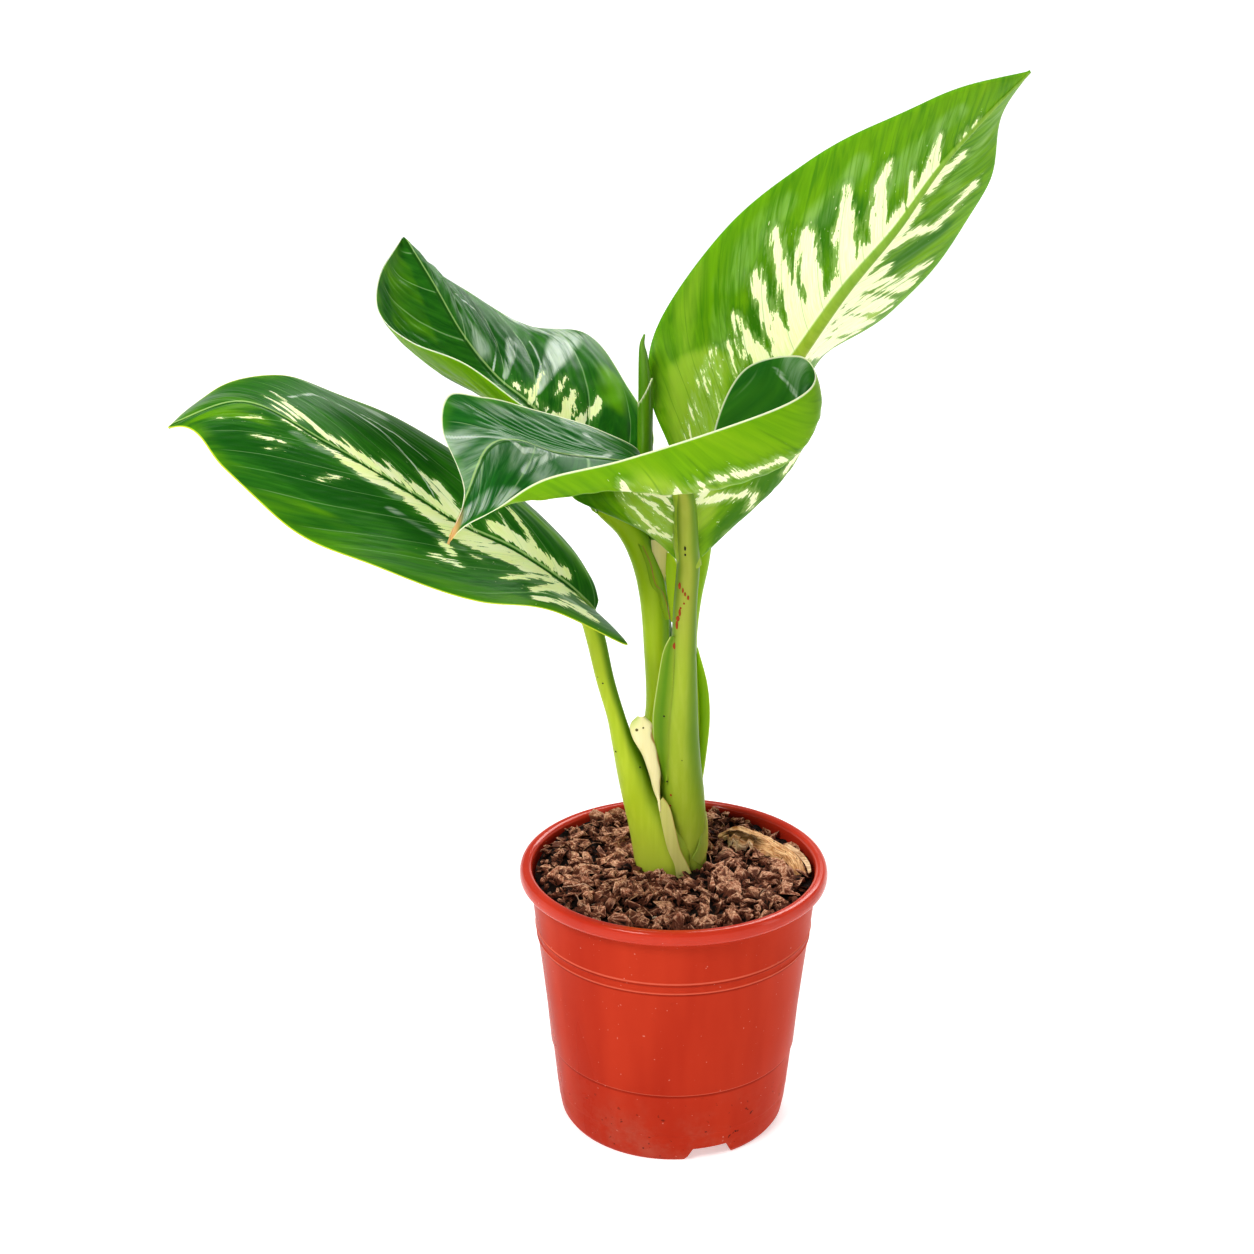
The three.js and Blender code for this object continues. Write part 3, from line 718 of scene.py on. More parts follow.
def build_scrap():
    rows, columns = SCRAP_GRID
    along = np.linspace(0, 1, rows)
    t = along[:, None]
    s = np.linspace(-1, 1, columns)
    bed = along_curve(SCRAP_BED, along)
    half = along_curve(SCRAP_HALF_WIDTHS, along)
    arch = along_curve(SCRAP_ARCH, along)
    up = np.array([0, 0, 1.0])
    side = unit(np.cross(unit(np.gradient(bed, axis=0)), up))
    # The near edge hangs in torn strips along the first half and is only wavy after it.
    torn = 1 - smoothstep(0.42, 0.52, t)
    near = 0.16 * np.sign(np.sin(46 * t)) * torn + 0.05 * np.sin(31 * t) + 0.04 * np.sin(83 * t)
    far = 0.09 * np.sin(27 * t) + 0.06 * np.sin(71 * t)
    bend = s * SCRAP_CURL * np.where(s > 0, 1 + near, 1 + far)
    pleats = 1 + 0.10 * np.sin(60 * t + 3 * s) * smoothstep(0.1, 0.9, s) * torn
    pleats = pleats + 0.05 * np.sin(17 * t + 5 * s)
    pleats = pleats + 0.055 * np.sin(15 * s + 5 * np.sin(7 * t)) + 0.03 * np.sin(29 * s + 9 * t)
    grid = bed[:, None] + side[:, None] * (half * np.sin(bend) * pleats)[..., None]
    grid = grid + up * (arch * (np.cos(bend) ** 0.8) * pleats)[..., None]
    cup = smoothstep(0.04, 0.12, t) * torn
    # Painted shade inside the curl's hollow, on its near side along the torn first half.
    hollow = cup * smoothstep(0.05, 0.25, s) * (1 - smoothstep(0.45, 0.7, s))
    values = {"hollow": twice(hollow), "fringe": twice(cup * smoothstep(0.6, 0.8, s))}
    parts = [(*thickened(grid, -SCRAP_HALF_THICKNESS), values)]
    uv = np.tile(np.c_[np.repeat(along, columns), np.tile(s * 0.15, rows)], (2, 1))
    for inner, outer in SCRAP_RIBBONS:
        ribbon, faces, _ = flap(inner, outer, grid=RIBBON_GRID)
        uv = np.concatenate([uv, np.c_[ribbon[:, 0], ribbon[:, 2]] / 60])
        parts.append((ribbon, faces, {"hollow": 0.0, "fringe": 0.6}))
    piece("dry_sheath_curl", *joined(parts), dry_tan(), "dry_sheath", ["dry_sheath_scrap"], uv)


# ---- leaf blades --------------------------------------------------------------------

# Rows from the base to the tip, the same as the solid's: left margin, midrib, right margin
# and, where the left half folds over, its middle. `belly` moves the middle of each half.
BLADES = {
    "leaf_1": {
        "belly": ((0, -0.5, 1.6), (2.6, -0.5, 3.4)),
        "rib": (3.8, 3.2, 0.8, 0.5),
        "rows": [
            ((-28, -9, 226), (-33, -7, 230), (-31, -3, 234)),
            ((-20, -22, 222), (-37, -10, 236), (-36, 5, 243)),
            ((-47, -50, 246), (-46, -14, 246), (-48, 14, 257)),
            ((-75, -68, 257), (-64, -20, 261), (-79, 14, 285)),
            ((-110, -78, 273), (-83, -27, 273), (-110, 10, 305)),
            ((-141, -80, 289), (-106, -34, 291), (-139, 1, 321)),
            ((-165, -73, 310), (-132, -39, 309), (-161, -12, 329)),
            ((-178, -62, 321), (-161, -43, 326), (-180, -28, 324)),
            ((-188, -56, 320), (-188, -56, 320), (-188, -56, 320)),
        ],
    },
    "leaf_2": {
        "belly": ((0, 0, 0), (-2, -1, -2)),
        "rib": (4.7, 4.4, 0.8, 0.5),
        "rows": [
            ((9, -14, 254), (5, -16, 255), (1, -14, 254), (7, -15, 254)),
            ((16, -2, 274), (3, -18, 264), (-14, -9, 266), (22, -12, 268)),
            ((14, -2, 302), (3, -21, 276), (-41, -4, 278), (39, -16, 287)),
            ((25, -9, 330), (2, -24, 284), (-30, -6, 284), (48, -24, 304)),
            ((45, -26, 340), (0, -28, 292), (-15, -8, 296), (45, -35, 312)),
            ((50, -44, 336), (-7, -32, 298), (-30, -16, 308), (42, -47, 309)),
            ((40, -56, 330), (-16, -36, 301), (-45, -24, 316), (32, -54, 302)),
            ((11, -65, 321), (-30, -41, 304), (-60, -32, 322), (4, -62, 297)),
            ((-21, -70, 312), (-45, -48, 308), (-73, -42, 328), (-27, -66, 299)),
            ((-50, -75, 306), (-59, -56, 315), (-85, -50, 331), (-51, -70, 298)),
            ((-68, -80, 295), (-69, -65, 315), (-87, -60, 320), (-67, -74, 300)),
            ((-78, -83, 291), (-76, -76, 302), (-78, -76, 302), (-76, -79, 295)),
            ((-84, -86, 285), (-84, -86, 285), (-84, -86, 285), (-84, -86, 285)),
        ],
    },
    "leaf_3": {
        "belly": ((-4.5, -0.5, -5.5), (2, -1.5, 3.5)),
        "rib": (4.2, 3.4, 0.8, 0.5),
        "rows": [
            ((-32, 4, 269), (-30, 8, 271), (-26, 12, 273)),
            ((-37, 2, 300), (-37, 12, 285), (-9, 32, 290)),
            ((-57, -14, 316), (-48, 16, 298), (-20, 48, 311)),
            ((-81, -10, 332), (-60, 21, 309), (-36, 68, 326)),
            ((-103, 2, 339), (-73, 32, 317), (-61, 80, 328)),
            ((-117, 10, 349), (-86, 36, 333), (-86, 77, 342)),
            ((-116, 24, 362), (-98, 42, 353), (-101, 65, 356)),
            ((-110, 48, 371), (-110, 48, 371), (-110, 48, 371)),
        ],
    },
    "leaf_4": {
        "belly": ((0.2, -0.8, -0.2), (0.3, -1.8, 0)),
        "rib": (4.0, 3.6, 0.8, 0.5),
        "rows": [
            ((15, 15, 259), (12, 11, 263), (9, 8, 266)),
            ((32, 34, 266), (19, 15, 279), (-3, 5, 296)),
            ((49, 53, 290), (31, 17, 303), (-11, 9, 319)),
            ((62, 60, 319), (48, 11, 332), (-7, 17, 343)),
            ((89, 54, 339), (65, 9, 358), (18, 9, 381)),
            ((110, 45, 368), (84, 12, 381), (48, 0, 408)),
            ((122, 33, 395), (99, 8, 405), (79, -8, 426)),
            ((124, 20, 423), (116, 4, 426), (105, -9, 437)),
            ((131, 5, 441), (131, 5, 441), (131, 5, 441)),
        ],
    },
}

# The finish of each leaf. `strokes` are its cream marks, laid out on the flattened blade in
# millimetres: start (along the midrib, across it), end, half width at each end and, for a
# mottled patch, how solid it is. Across is negative on the left half. Laid out the same way,
# `pale_and_lit` are broad paler places, partly the leaf's own paler green and partly a painted
# glow of light shining through, `painted_shade` are broad darker places of painted shade, and
# `haze` are places of painted sheen, some of them thin pale vein lines. `lean`
# is how far the side veins run on towards the tip for each millimetre outwards, `vein_gap` how
# far apart they are and `veins` how clear. `quilt` is how far the panels between them swell on
# the left and the right half, and `pucker` how dimpled they are. `flame` is how ragged the
# cream is.
# `dark`, `mid`, `light` and `under` are greens, `margin` and `rim` the edge's colour and width,
# `tip` where a dry tip starts and ends (past 1 for none), `gloss` how strongly the upper face
# shines and `dusk` how dark the lower face is round the cream.
FINISH = {
    "leaf_1": {
        "strokes": [
            ((30, -8), (66, -8), 7, 7.5, 1.3), ((66, -7), (90, -5), 5.5, 3.2, 1.5),
            ((14, -6), (30, -8), 2.5, 5, 0.8), ((14, -19), (28, -34), 2.4, 1.2, 0.8),
            ((20, -10), (30, -28), 3.2, 1.6), ((32, -14), (43, -29), 2.6, 1.0),
            ((56, -33), (63, -35), 1.5, 1.2), ((60, -27), (66, -22), 1.5, 1.0),
            ((52, -22), (55, -22), 0.8, 0.6), ((92, -3.5), (110, -5), 2.4, 3.4),
            ((110, -5), (132, -3), 3.0, 1.2), ((135, -1.5), (150, -1.5), 0.9, 0.6),
            ((112, -18), (114, -25), 1.0, 0.7), ((134, -20), (135, -24), 0.6, 0.4),
            ((136, -16), (138, -16), 0.7, 0.5), ((140, -18), (144, -21), 1.2, 0.9),
            ((154, -8), (157, -13), 0.7, 0.4), ((161, -17), (163, -17), 0.6, 0.4),
            ((20, 4), (54, 6), 1.8, 3.4), ((36, 8), (44, 19), 1.3, 0.6), ((46, 6), (51, 17), 0.9, 0.5),
            ((68, 3), (75, 15), 2.0, 2.6), ((72, 4), (82, 16), 3.0, 1.6), ((76, 3), (90, 5), 2.6, 2.6),
            ((94, 3), (100, 10), 2.2, 1.4), ((100, 4), (118, 4), 2.6, 2.6),
            ((114, 3), (120, 9), 1.8, 0.9), ((118, 3), (132, 6), 1.8, 2.6),
            ((130, 5), (140, 15), 2.6, 1.5), ((137, 10), (140, 24), 1.1, 0.4),
            ((142, 8), (149, 14), 2.2, 0.9), ((145, 4), (151, 6), 1.8, 0.9),
        ],
        "pale_and_lit": [
            ((168, 2), (190, 0), 10, 5, -1.3), ((152, -10), (170, -14), 3, 4),
            ((10, 14), (40, 30), 3, 3), ((24, -46), (140, -50), 7, 6, -1.4),
        ],
        "painted_shade": [
            ((104, -24), (150, -26), 12, 9), ((110, 26), (80, 30), 8, 10), ((70, -24), (90, -20), 6, 6),
        ],
        "haze": [
            ((18, -18), (36, -22), 4, 4, 0.5), ((60, -20), (90, -18), 3, 2.5, 0.5),
            ((80, 3), (84, 20), 0.4, 0.6), ((84, 20), (91, 34), 0.6, 0.9),
            ((91, 34), (101, 40), 0.9, 0.9), ((101, 40), (116, 38), 0.9, 0.7),
            ((116, 38), (134, 24), 0.7, 0.4), ((74, 28), (83, 37), 0.5, 0.6),
            ((83, 37), (95, 41), 0.6, 0.4), ((82, 50), (112, 54), 4, 3, 0.5),
            ((95, -8), (140, -6), 4, 3, 0.45),
        ],
        "pucker": 0.10, "quilt": (0.10, 0.22), "vein_gap": 21.0, "lean": 0.6, "seed": 3.1,
        "margin": (0.60, 0.66, 0.06), "rim": 0.7, "dark": (0.0100, 0.090, 0.0080),
        "mid": (0.044, 0.195, 0.0150), "light": (0.125, 0.31, 0.004),
        "under": ((0.090, 0.25, 0.0010), (0.17, 0.37, 0.0020)), "veins": 0.35, "tip": (1.5, 1.6),
        "flame": 3.5, "gloss": 0.05, "dusk": 0.7,
    },
    "leaf_2": {
        "strokes": [
            ((11, 5), (13, 14), 1.0, 0.6), ((15, 12), (22, 20), 1.0, 0.8),
            ((22, 20), (29, 27), 1.1, 0.7), ((31, 7), (33, 28), 1.6, 0.8), ((24, 5), (31, 8), 1.2, 1.0),
            ((18, 6), (24, 12), 1.0, 0.6), ((26, 12), (30, 18), 1.2, 0.6),
            ((14, 12), (28, 18), 6, 7, -1.7), ((14, -48), (29, -53), 1.2, 0.8),
            ((34, -54), (36, -32), 0.8, 1.3), ((37, -27), (37, -12), 1.2, 1.6),
            ((26, -24), (27, -6), 1.0, 1.8), ((8, -18), (12, -26), 0.9, 0.6),
            ((18, -25), (24, -28), 1.3, 0.9), ((10, -36), (16, -44), 1.1, 0.9),
            ((28, -40), (33, -52), 1.1, 0.8), ((30, -8), (35, -12), 1.8, 1.2),
            ((12, -8), (30, -40), 7, 9, -3.2), ((52, -63), (62, -63), 0.7, 0.6),
            ((62, -62), (69, -55), 0.9, 1.3), ((71, -55), (77, -47), 1.1, 0.6),
            ((46, -38), (58, -46), 4, 4, -0.9), ((66, -34), (74, -45), 1.1, 1.2),
            ((71, -31), (80, -41), 0.8, 1.0), ((78, -25), (84, -37), 1.2, 0.8),
            ((84, -25), (91, -35), 1.6, 0.9), ((54, -29), (66, -29), 1.0, 0.8),
        ],
        "pale_and_lit": [
            ((14, 10), (30, 18), 9, 9), ((18, -6), (32, -10), 3, 4), ((60, -48), (84, -36), 5, 5, 0.0),
            ((26, -78), (40, -80), 8, 8, 0.0),
        ],
        "painted_shade": [
            ((9, -18), (26, -40), 8, 10), ((6, 20), (24, 42), 5, 6), ((56, -52), (62, -54), 4, 4),
        ],
        "haze": [
            ((57, 26), (58, 12), 1.2, 1.2), ((58, 12), (70, 3), 1.2, 1.0),
            ((70, 3), (110, -4), 1.6, 1.4), ((110, -4), (118, 6), 1.2, 0.8),
            ((118, 6), (128, 22), 0.6, 0.4), ((104, -12), (136, 2), 9, 9, 0.5),
            ((118, -22), (150, -3), 4.5, 3), ((44, 26), (60, 33), 2, 2, 0.8),
            ((62, 29), (108, 28), 4, 6, 0.40), ((112, 8), (130, 16), 8, 7, 0.5),
            ((96, -2), (112, -12), 1.8, 1.8), ((35, -68), (40, -86), 5, 5, 0.5),
            ((33, -68), (34, -84), 0.5, 0.4),
        ],
        "pucker": 0.20, "quilt": (0.22, 0.30), "vein_gap": 26.0, "lean": 0.5, "seed": 7.7,
        "margin": (0.80, 0.84, 0.58), "rim": 0.95, "dark": (0.0060, 0.085, 0.0130),
        "mid": (0.032, 0.180, 0.024), "light": (0.085, 0.28, 0.022),
        "under": ((0.130, 0.31, 0.0010), (0.195, 0.385, 0.0020)), "veins": 0.55, "tip": (0.90, 0.97),
        "flame": 5.0, "gloss": 0.08, "dusk": 0.45,
    },
    "leaf_3": {
        "strokes": [
            ((31, 12), (33, 25), 1.9, 1.0), ((36, 8), (41, 19), 2.3, 1.3),
            ((44, 12), (46, 21), 1.0, 0.5), ((20, 4), (60, 4), 2.0, 1.2, 0.2),
            ((50, 3), (54, 16), 1.8, 0.7, 0.8), ((14, 5), (22, 14), 2, 1, -0.5),
            ((16, -5), (50, -4), 3, 1.5, -0.5),
        ],
        "pale_and_lit": [((30, 30), (36, 40), 3, 4), ((92, -22), (124, -12), 8, 5, -1.2)],
        "painted_shade": [((60, 20), (90, 24), 10, 8), ((60, -20), (80, -24), 8, 8)],
        "haze": [
            ((51, 8), (54, 30), 2.2, 4.5), ((54, 30), (57, 52), 4.5, 7), ((62, 48), (74, 48), 6, 5),
            ((66, 4), (71, 22), 1.6, 3.0), ((82, 6), (100, 8), 7, 5, 0.6),
            ((60, 20), (72, 34), 7, 6, 0.35), ((72, 2), (76, 15), 0.5, 0.5),
            ((76, 15), (87, 22), 0.5, 0.5), ((87, 22), (99, 19), 0.5, 0.4),
            ((51, 4), (56, 20), 0.6, 0.5), ((56, 20), (66, 32), 0.5, 0.4),
        ],
        "pucker": 0.24, "quilt": (0.5, 1.7), "vein_gap": 22.0, "lean": 0.45, "seed": 12.4,
        "margin": (0.80, 0.85, 0.66), "rim": 0.75, "dark": (0.0075, 0.080, 0.0080),
        "mid": (0.042, 0.195, 0.0140), "light": (0.145, 0.36, 0.004),
        "under": ((0.120, 0.29, 0.0010), (0.24, 0.44, 0.0030)), "veins": 0.55, "tip": (1.5, 1.6),
        "flame": 3.5, "gloss": 0.07, "dusk": 0.7,
    },
    "leaf_4": {
        "strokes": [
            ((66, 4), (165, 2.5), 4.6, 1.6), ((56, 6), (84, 6), 6, 5, 1.0),
            ((30, 14), (70, 22), 10, 9, -0.8), ((70, 9), (88, 30), 3.2, 1.2),
            ((80, 5), (102, 33), 3.8, 1.3), ((90, 4), (117, 37), 4.0, 1.1),
            ((100, 4), (112, 17), 4.8, 3.4), ((112, 17), (122, 27), 3.4, 1.3),
            ((117, 4), (130, 16), 4.4, 2.6), ((130, 16), (141, 28), 2.6, 0.9),
            ((133, 3), (148, 17), 3.6, 2.2), ((148, 17), (156, 21), 2.2, 1.0),
            ((152, 2), (160, 9), 2.4, 1.1), ((166, 2), (176, 11), 2.2, 1.0),
            ((183, 0), (191, 2), 1.4, 0.9), ((60, -8), (150, -4), 5.5, 2.6),
            ((82, -14), (86, -52), 6, 6, 2.0), ((94, -12), (100, -50), 7, 5, 1.2),
            ((106, -10), (112, -46), 6, 3, 1.0), ((116, -10), (122, -44), 3.5, 3, 0.8),
            ((120, -30), (132, -40), 2.5, 2, 0.8), ((108, -8), (122, -14), 4, 4),
            ((132, -5), (142, -14), 2.8, 2.6), ((142, -14), (146, -24), 2.6, 1.4),
            ((145, -22), (166, -27), 2.0, 1.8), ((160, -3), (176, -7), 2.8, 1.6),
            ((60, -12), (66, -44), 5, 5, 1.0),
        ],
        "pale_and_lit": [
            ((10, 14), (60, 30), 8, 12), ((48, 42), (92, 58), 10, 7, -1.8),
            ((82, -20), (104, -40), 6, 6),
        ],
        "painted_shade": [((84, 22), (134, 22), 7, 7), ((124, -18), (146, -26), 5, 5)],
        "haze": [
            ((150, 16), (188, 13), 7, 5, 0.65), ((165, -14), (196, -12), 6, 4, 0.6),
            ((98, 40), (126, 42), 7, 6, 0.6), ((128, 28), (150, 30), 6, 5, 0.6),
            ((76, 30), (90, 38), 5, 4, 0.5),
        ],
        "pucker": 0.10, "quilt": (0.25, 0.25), "vein_gap": 11.0, "lean": 0.7, "seed": 21.9,
        "margin": (0.10, 0.27, 0.01), "rim": 0.6, "dark": (0.0045, 0.075, 0.0025),
        "mid": (0.026, 0.165, 0.0020), "light": (0.105, 0.29, 0.003),
        "under": ((0.072, 0.225, 0.0006), (0.170, 0.36, 0.0012)), "veins": 0.25, "tip": (1.5, 1.6),
        "flame": 7.5, "gloss": 0.12, "dusk": 0.7,
    },
}

BLADE_ROWS = 260
HALF_COLUMNS = 72
TIP_STOP = 0.02
RIB_SAMPLES = 2000
BLADE_HALF_THICKNESS = 0.28
GROOVE_DEPTH, GROOVE_WIDTH = 0.5, 1.1
# How far to the right of the upper face's middle a thin pale line runs.
PALE_LINE_AT = 1.3
# How far outside the strokes, and outside the washes and shades, the distance still counts.
CREAM_REACH, TONE_REACH = -6.0, -9.0


def blade_surface(blade):
    """The middle surface of a blade as a grid, with its width coordinate."""
    rows = np.array([np.concatenate(row).astype(float) for row in blade["rows"]])
    last = len(rows) - 1
    fine = np.linspace(0, last - TIP_STOP, RIB_SAMPLES)
    walked = lengths_along(through(rows[:, 3:6], fine), 0)
    even = np.linspace(0, walked[-1], BLADE_ROWS)
    x = 0.5 * np.interp(even, walked, fine) + 0.5 * np.linspace(0, last - TIP_STOP, BLADE_ROWS)
    values = through(rows, x)
    left, rib, right = (values[:, k:k + 3] for k in (0, 3, 6))
    swell = np.sqrt(np.maximum(np.sin(np.pi * (x / last) ** 0.8), 0))[:, None]
    bellies = [np.asarray(b, float) * swell for b in blade["belly"]]
    left_middle = values[:, 9:12] if values.shape[1] > 9 else (left + rib) / 2 + bellies[0]
    right_middle = (right + rib) / 2 + bellies[1]
    s = np.linspace(0, 1, HALF_COLUMNS) ** 1.15

    def half(middle, edge):
        shares = (1 - s) * (1 - 2 * s), 4 * s * (1 - s), s * (2 * s - 1)
        a, b, c = (share[:, None] for share in shares)
        return rib[:, None] * a + middle[:, None] * b + edge[:, None] * c

    grid = np.concatenate([half(left_middle, left)[:, :0:-1], half(right_middle, right)], axis=1)
    return grid, np.concatenate([-s[:0:-1], s])


def from_stroke(stroke, along, across):
    """How far each place is from a stroke's middle line, and the stroke's half width there."""
    start, end, first, last = stroke[:4]
    run = np.subtract(end, start).astype(float)
    t = ((along - start[0]) * run[0] + (across - start[1]) * run[1]) / (run @ run)
    t = np.clip(t, 0, 1)
    away = np.hypot(along - start[0] - t * run[0], across - start[1] - t * run[1])
    return away, first + (last - first) * t


def stroke_field(strokes, along, across, far):
    """Millimetres inside (or, below zero, outside) the nearest stroke."""
    field = np.full(along.shape, far)
    for stroke in strokes:
        away, width = from_stroke(stroke, along, across)
        most = stroke[4] if len(stroke) > 4 else 6.0
        field = np.maximum(field, np.minimum(width - away, most))
    return field


def soft_patches(patches, along, across):
    """How strongly soft-edged patches cover each place, from 0 to 1."""
    cover = np.zeros(along.shape)
    for patch in patches:
        away, width = from_stroke(patch, along, across)
        strength = patch[4] if len(patch) > 4 else 1.0
        cover = np.maximum(cover, strength * (1 - smoothstep(0.3, 1.5, away / width)))
    return cover


def flattened(grid):
    """How far each place of a blade is along its midrib, across from it and from its margin."""
    middle = HALF_COLUMNS - 1
    along = np.repeat(lengths_along(grid[:, middle], 0)[:, None], grid.shape[1], axis=1)
    out_right = lengths_along(grid[:, middle:], 1)
    out_left = lengths_along(grid[:, middle::-1], 1)[:, ::-1]
    across = np.concatenate([-out_left[:, :-1], out_right], axis=1)
    edges = np.repeat(out_left[:, :1], middle, 1), np.repeat(out_right[:, -1:], middle + 1, 1)
    return along, across, np.concatenate(edges, axis=1) - np.abs(across)


def rib_ridge(rib, away, t):
    """How far the midrib stands out below, and how many half widths of it a place is away."""
    base_width, base_depth, tip_width, tip_depth = rib
    taper = t**1.1
    beside = away / (base_width + (tip_width - base_width) * taper)
    depth = base_depth + (tip_depth - base_depth) * taper
    ridge = depth * np.sqrt(np.maximum(1 - beside**2, 0))
    return ridge * (1 - smoothstep(0.9, 1.0, beside) * 0.5), beside


def blade_mesh(blade, finish):
    grid, share = blade_surface(blade)
    along, across, to_margin = flattened(grid)
    away = np.abs(across)
    t = along / along[-1, 0]
    normals = surface_normals(grid)

    # Panels swell a little between the side veins, and the margins wave.
    seed, out = finish["seed"], np.abs(share)
    vein = along - finish["lean"] * away ** 1.15
    beat = vein / finish["vein_gap"] + 0.12 * np.sin(vein / 9.0 + seed)
    panel = np.abs(np.sin(np.pi * beat)) ** 0.7 - 0.6
    inside = smoothstep(0.05, 0.3, out) * (1 - smoothstep(0.7, 1.0, out))
    fade = smoothstep(0.02, 0.15, t) * (1 - smoothstep(0.8, 1.0, t))
    swell = np.where(share < 0, *finish["quilt"])
    wave = 0.5 * np.sin(along / 6.5 + seed) * out ** 4 * fade
    dimples = np.sin(0.85 * vein + 2 * np.sin(0.21 * across + seed))
    dimples = dimples * np.sin(0.5 * across + 2 * np.sin(0.13 * vein)) * finish["pucker"]
    grid = grid + normals * ((swell * panel + dimples) * inside * fade + wave)[..., None]
    normals = surface_normals(grid)

    ridge, beside = rib_ridge(blade["rib"], away, t)
    groove = GROOVE_DEPTH * np.exp(-((across / GROOVE_WIDTH) ** 2)) * fade
    thin = BLADE_HALF_THICKNESS * (0.45 + 0.55 * smoothstep(0, 2.5, to_margin))
    upper = grid + normals * (thin - groove)[..., None]
    lower = grid - normals * (thin + ridge)[..., None]

    cream = stroke_field(finish["strokes"], along, across, CREAM_REACH)
    # Paler places, partly a painted glow of light shining through, darker places of painted shade, and
    # places of painted sheen with some pale vein lines.
    pale_and_lit, painted_shade = (smoothstep(-7, 4, stroke_field(finish[key], along, across, TONE_REACH))
                   for key in ("pale_and_lit", "painted_shade"))
    per_face = {
        "across": across, "margin": to_margin, "ripe": t, "beat": beat, "tone": pale_and_lit - painted_shade,
        "haze": soft_patches(finish["haze"], along, across), "cream": cream,
        "rib": np.clip(1.15 - beside, 0, 1),
    }
    values = {key: twice(data) for key, data in per_face.items()}
    uv = np.tile(np.c_[vein.ravel(), across.ravel()] / 100 + seed, (2, 1))
    return *shell(upper, lower), values, uv


def leaf_patterns(look, finish):
    """Noises that follow the side veins, and where the cream lies, shared by both faces."""
    where = look.coordinates("UV")
    streaks = look.drawn(where, (26.0, 7.0, 1.0), 3, 0.5, 1.2)
    clouds = look.drawn(where, (7.0, 3.5, 1.0), 3, 0.5)
    fine = look.drawn(where, (260.0, 14.0, 1.0), 3, 0.6)
    strokes = look.drawn(where, (30.0, 6.0, 1.0), 6, 0.6, 0.8)
    flames = look.drawn(where, (13.0, 6.0, 1.0), 3, 0.5, 1.4)
    ragged = look.drawn(where, (90.0, 38.0, 1.0), 4, 0.6)
    push = look.plus(look.centred(strokes, 7.0), look.centred(ragged, 4.5))
    push = look.plus(push, look.centred(flames, finish["flame"]))
    push = look.plus(push, look.ramp(look.value("margin"), 1.0, 6.0, -9.0, 0.0))
    total = look.plus(look.value("cream"), push)
    specks = look.ramp(look.drawn(where, (110.0, 50.0, 1.0), 2, 0.5), 0.715, 0.73)
    specks = look.times(specks, look.ramp(look.value("cream"), -6.0, -2.0))
    cream = look.most(look.ramp(total, 0.0, 0.22), specks)
    # The paler and darker places, which carry painted glow and painted shade, broken up by clouds.
    tone = look.plus(look.value("tone"), look.centred(clouds, 1.6))
    return streaks, clouds, fine, total, cream, tone


def leaf_edge(look, colour, finish):
    """The pale rolled margin, and a dry tip where the leaf has one."""
    edge = look.ramp(look.value("margin"), finish["rim"], finish["rim"] * 0.35)
    colour = look.mix(look.times(edge, 0.9), colour, finish["margin"])
    dry = look.ramp(look.value("ripe"), *finish["tip"])
    return look.mix(dry, colour, (0.68, 0.42, 0.16))


def vein_lines(look, soft):
    """Thin lines along the side veins that fade out at the margin."""
    lines = look.ramp(look.apart(look.math("FRACT", look.value("beat")), 0.5), 0.5 - soft, 0.5)
    return look.times(lines, look.ramp(look.value("margin"), 2.0, 9.0))


def sheen_and_vein_share(look, fine, streaks, clouds, most):
    """How much painted sheen, with some thin pale vein lines, lies here, broken up along the veins."""
    grain = look.plus(look.times(fine, 0.14), look.times(streaks, 0.46))
    grain = look.ramp(look.plus(grain, look.times(clouds, 0.50)), 0.42, 0.66)
    lies = look.ramp(look.plus(look.value("haze"), look.centred(clouds, 0.9)), 0.20, 0.95)
    return look.times(look.times(lies, grain), most)


def upper_face(name, finish):
    look = Shader(f"{name}_upper", 0.3, finish["gloss"])
    streaks, clouds, fine, total, cream, tone = leaf_patterns(look, finish)
    green = look.mix(look.ramp(streaks, 0.05, 0.95), finish["dark"], finish["mid"])
    # Painted shade: where a darker place is laid out, the green is darkened.
    green = look.mix(look.times(look.ramp(tone, -0.2, -1.1), 0.75), green, finish["dark"])
    near_edge = look.ramp(look.value("margin"), 7.0, 0.0, 0.0, 0.8)
    lighten = look.times(near_edge, look.ramp(clouds, 0.3, 0.7))
    # Paler places lighten the green too, partly as a painted glow of light shining through.
    lighten = look.most(lighten, look.ramp(tone, 0.25, 1.05))
    green = look.mix(look.times(lighten, 0.85), green, finish["light"])
    veil = look.times(look.ramp(total, -2.6, 0.4), look.ramp(fine, 0.3, 0.7, 0.15, 0.55))
    green = look.mix(veil, green, (0.17, 0.33, 0.08))
    # Painted sheen, with some thin pale vein lines, where laid out.
    green = look.mix(sheen_and_vein_share(look, fine, streaks, clouds, 0.85), green, (0.60, 0.67, 0.58))
    ivory = look.mix(look.ramp(fine, 0.3, 0.8), (0.72, 0.80, 0.33), (0.90, 0.94, 0.58))
    ivory = look.mix(look.ramp(clouds, 0.35, 0.7), ivory, (0.84, 0.86, 0.60))
    colour = look.mix(cream, green, ivory)
    colour = look.mix(look.times(vein_lines(look, 0.03), finish["veins"]), colour, (0.34, 0.52, 0.24))
    line = look.ramp(look.apart(look.value("across"), 0.0), 0.9, 0.45)
    colour = look.mix(look.times(line, 0.85), colour, (0.020, 0.10, 0.008))
    beside = look.ramp(look.apart(look.value("across"), PALE_LINE_AT), 0.6, 0.2)
    colour = look.mix(look.times(beside, 0.6), colour, (0.45, 0.62, 0.24))
    look.colour(leaf_edge(look, colour, finish))
    look.roughness(look.plus(look.times(clouds, 0.25), 0.20))
    look.bump(look.plus(look.times(clouds, 1.5), streaks), 0.12, 0.0006)
    look.translucent(0.25, (0.6, 1.0, 0.1), 0.0018)
    return look.material


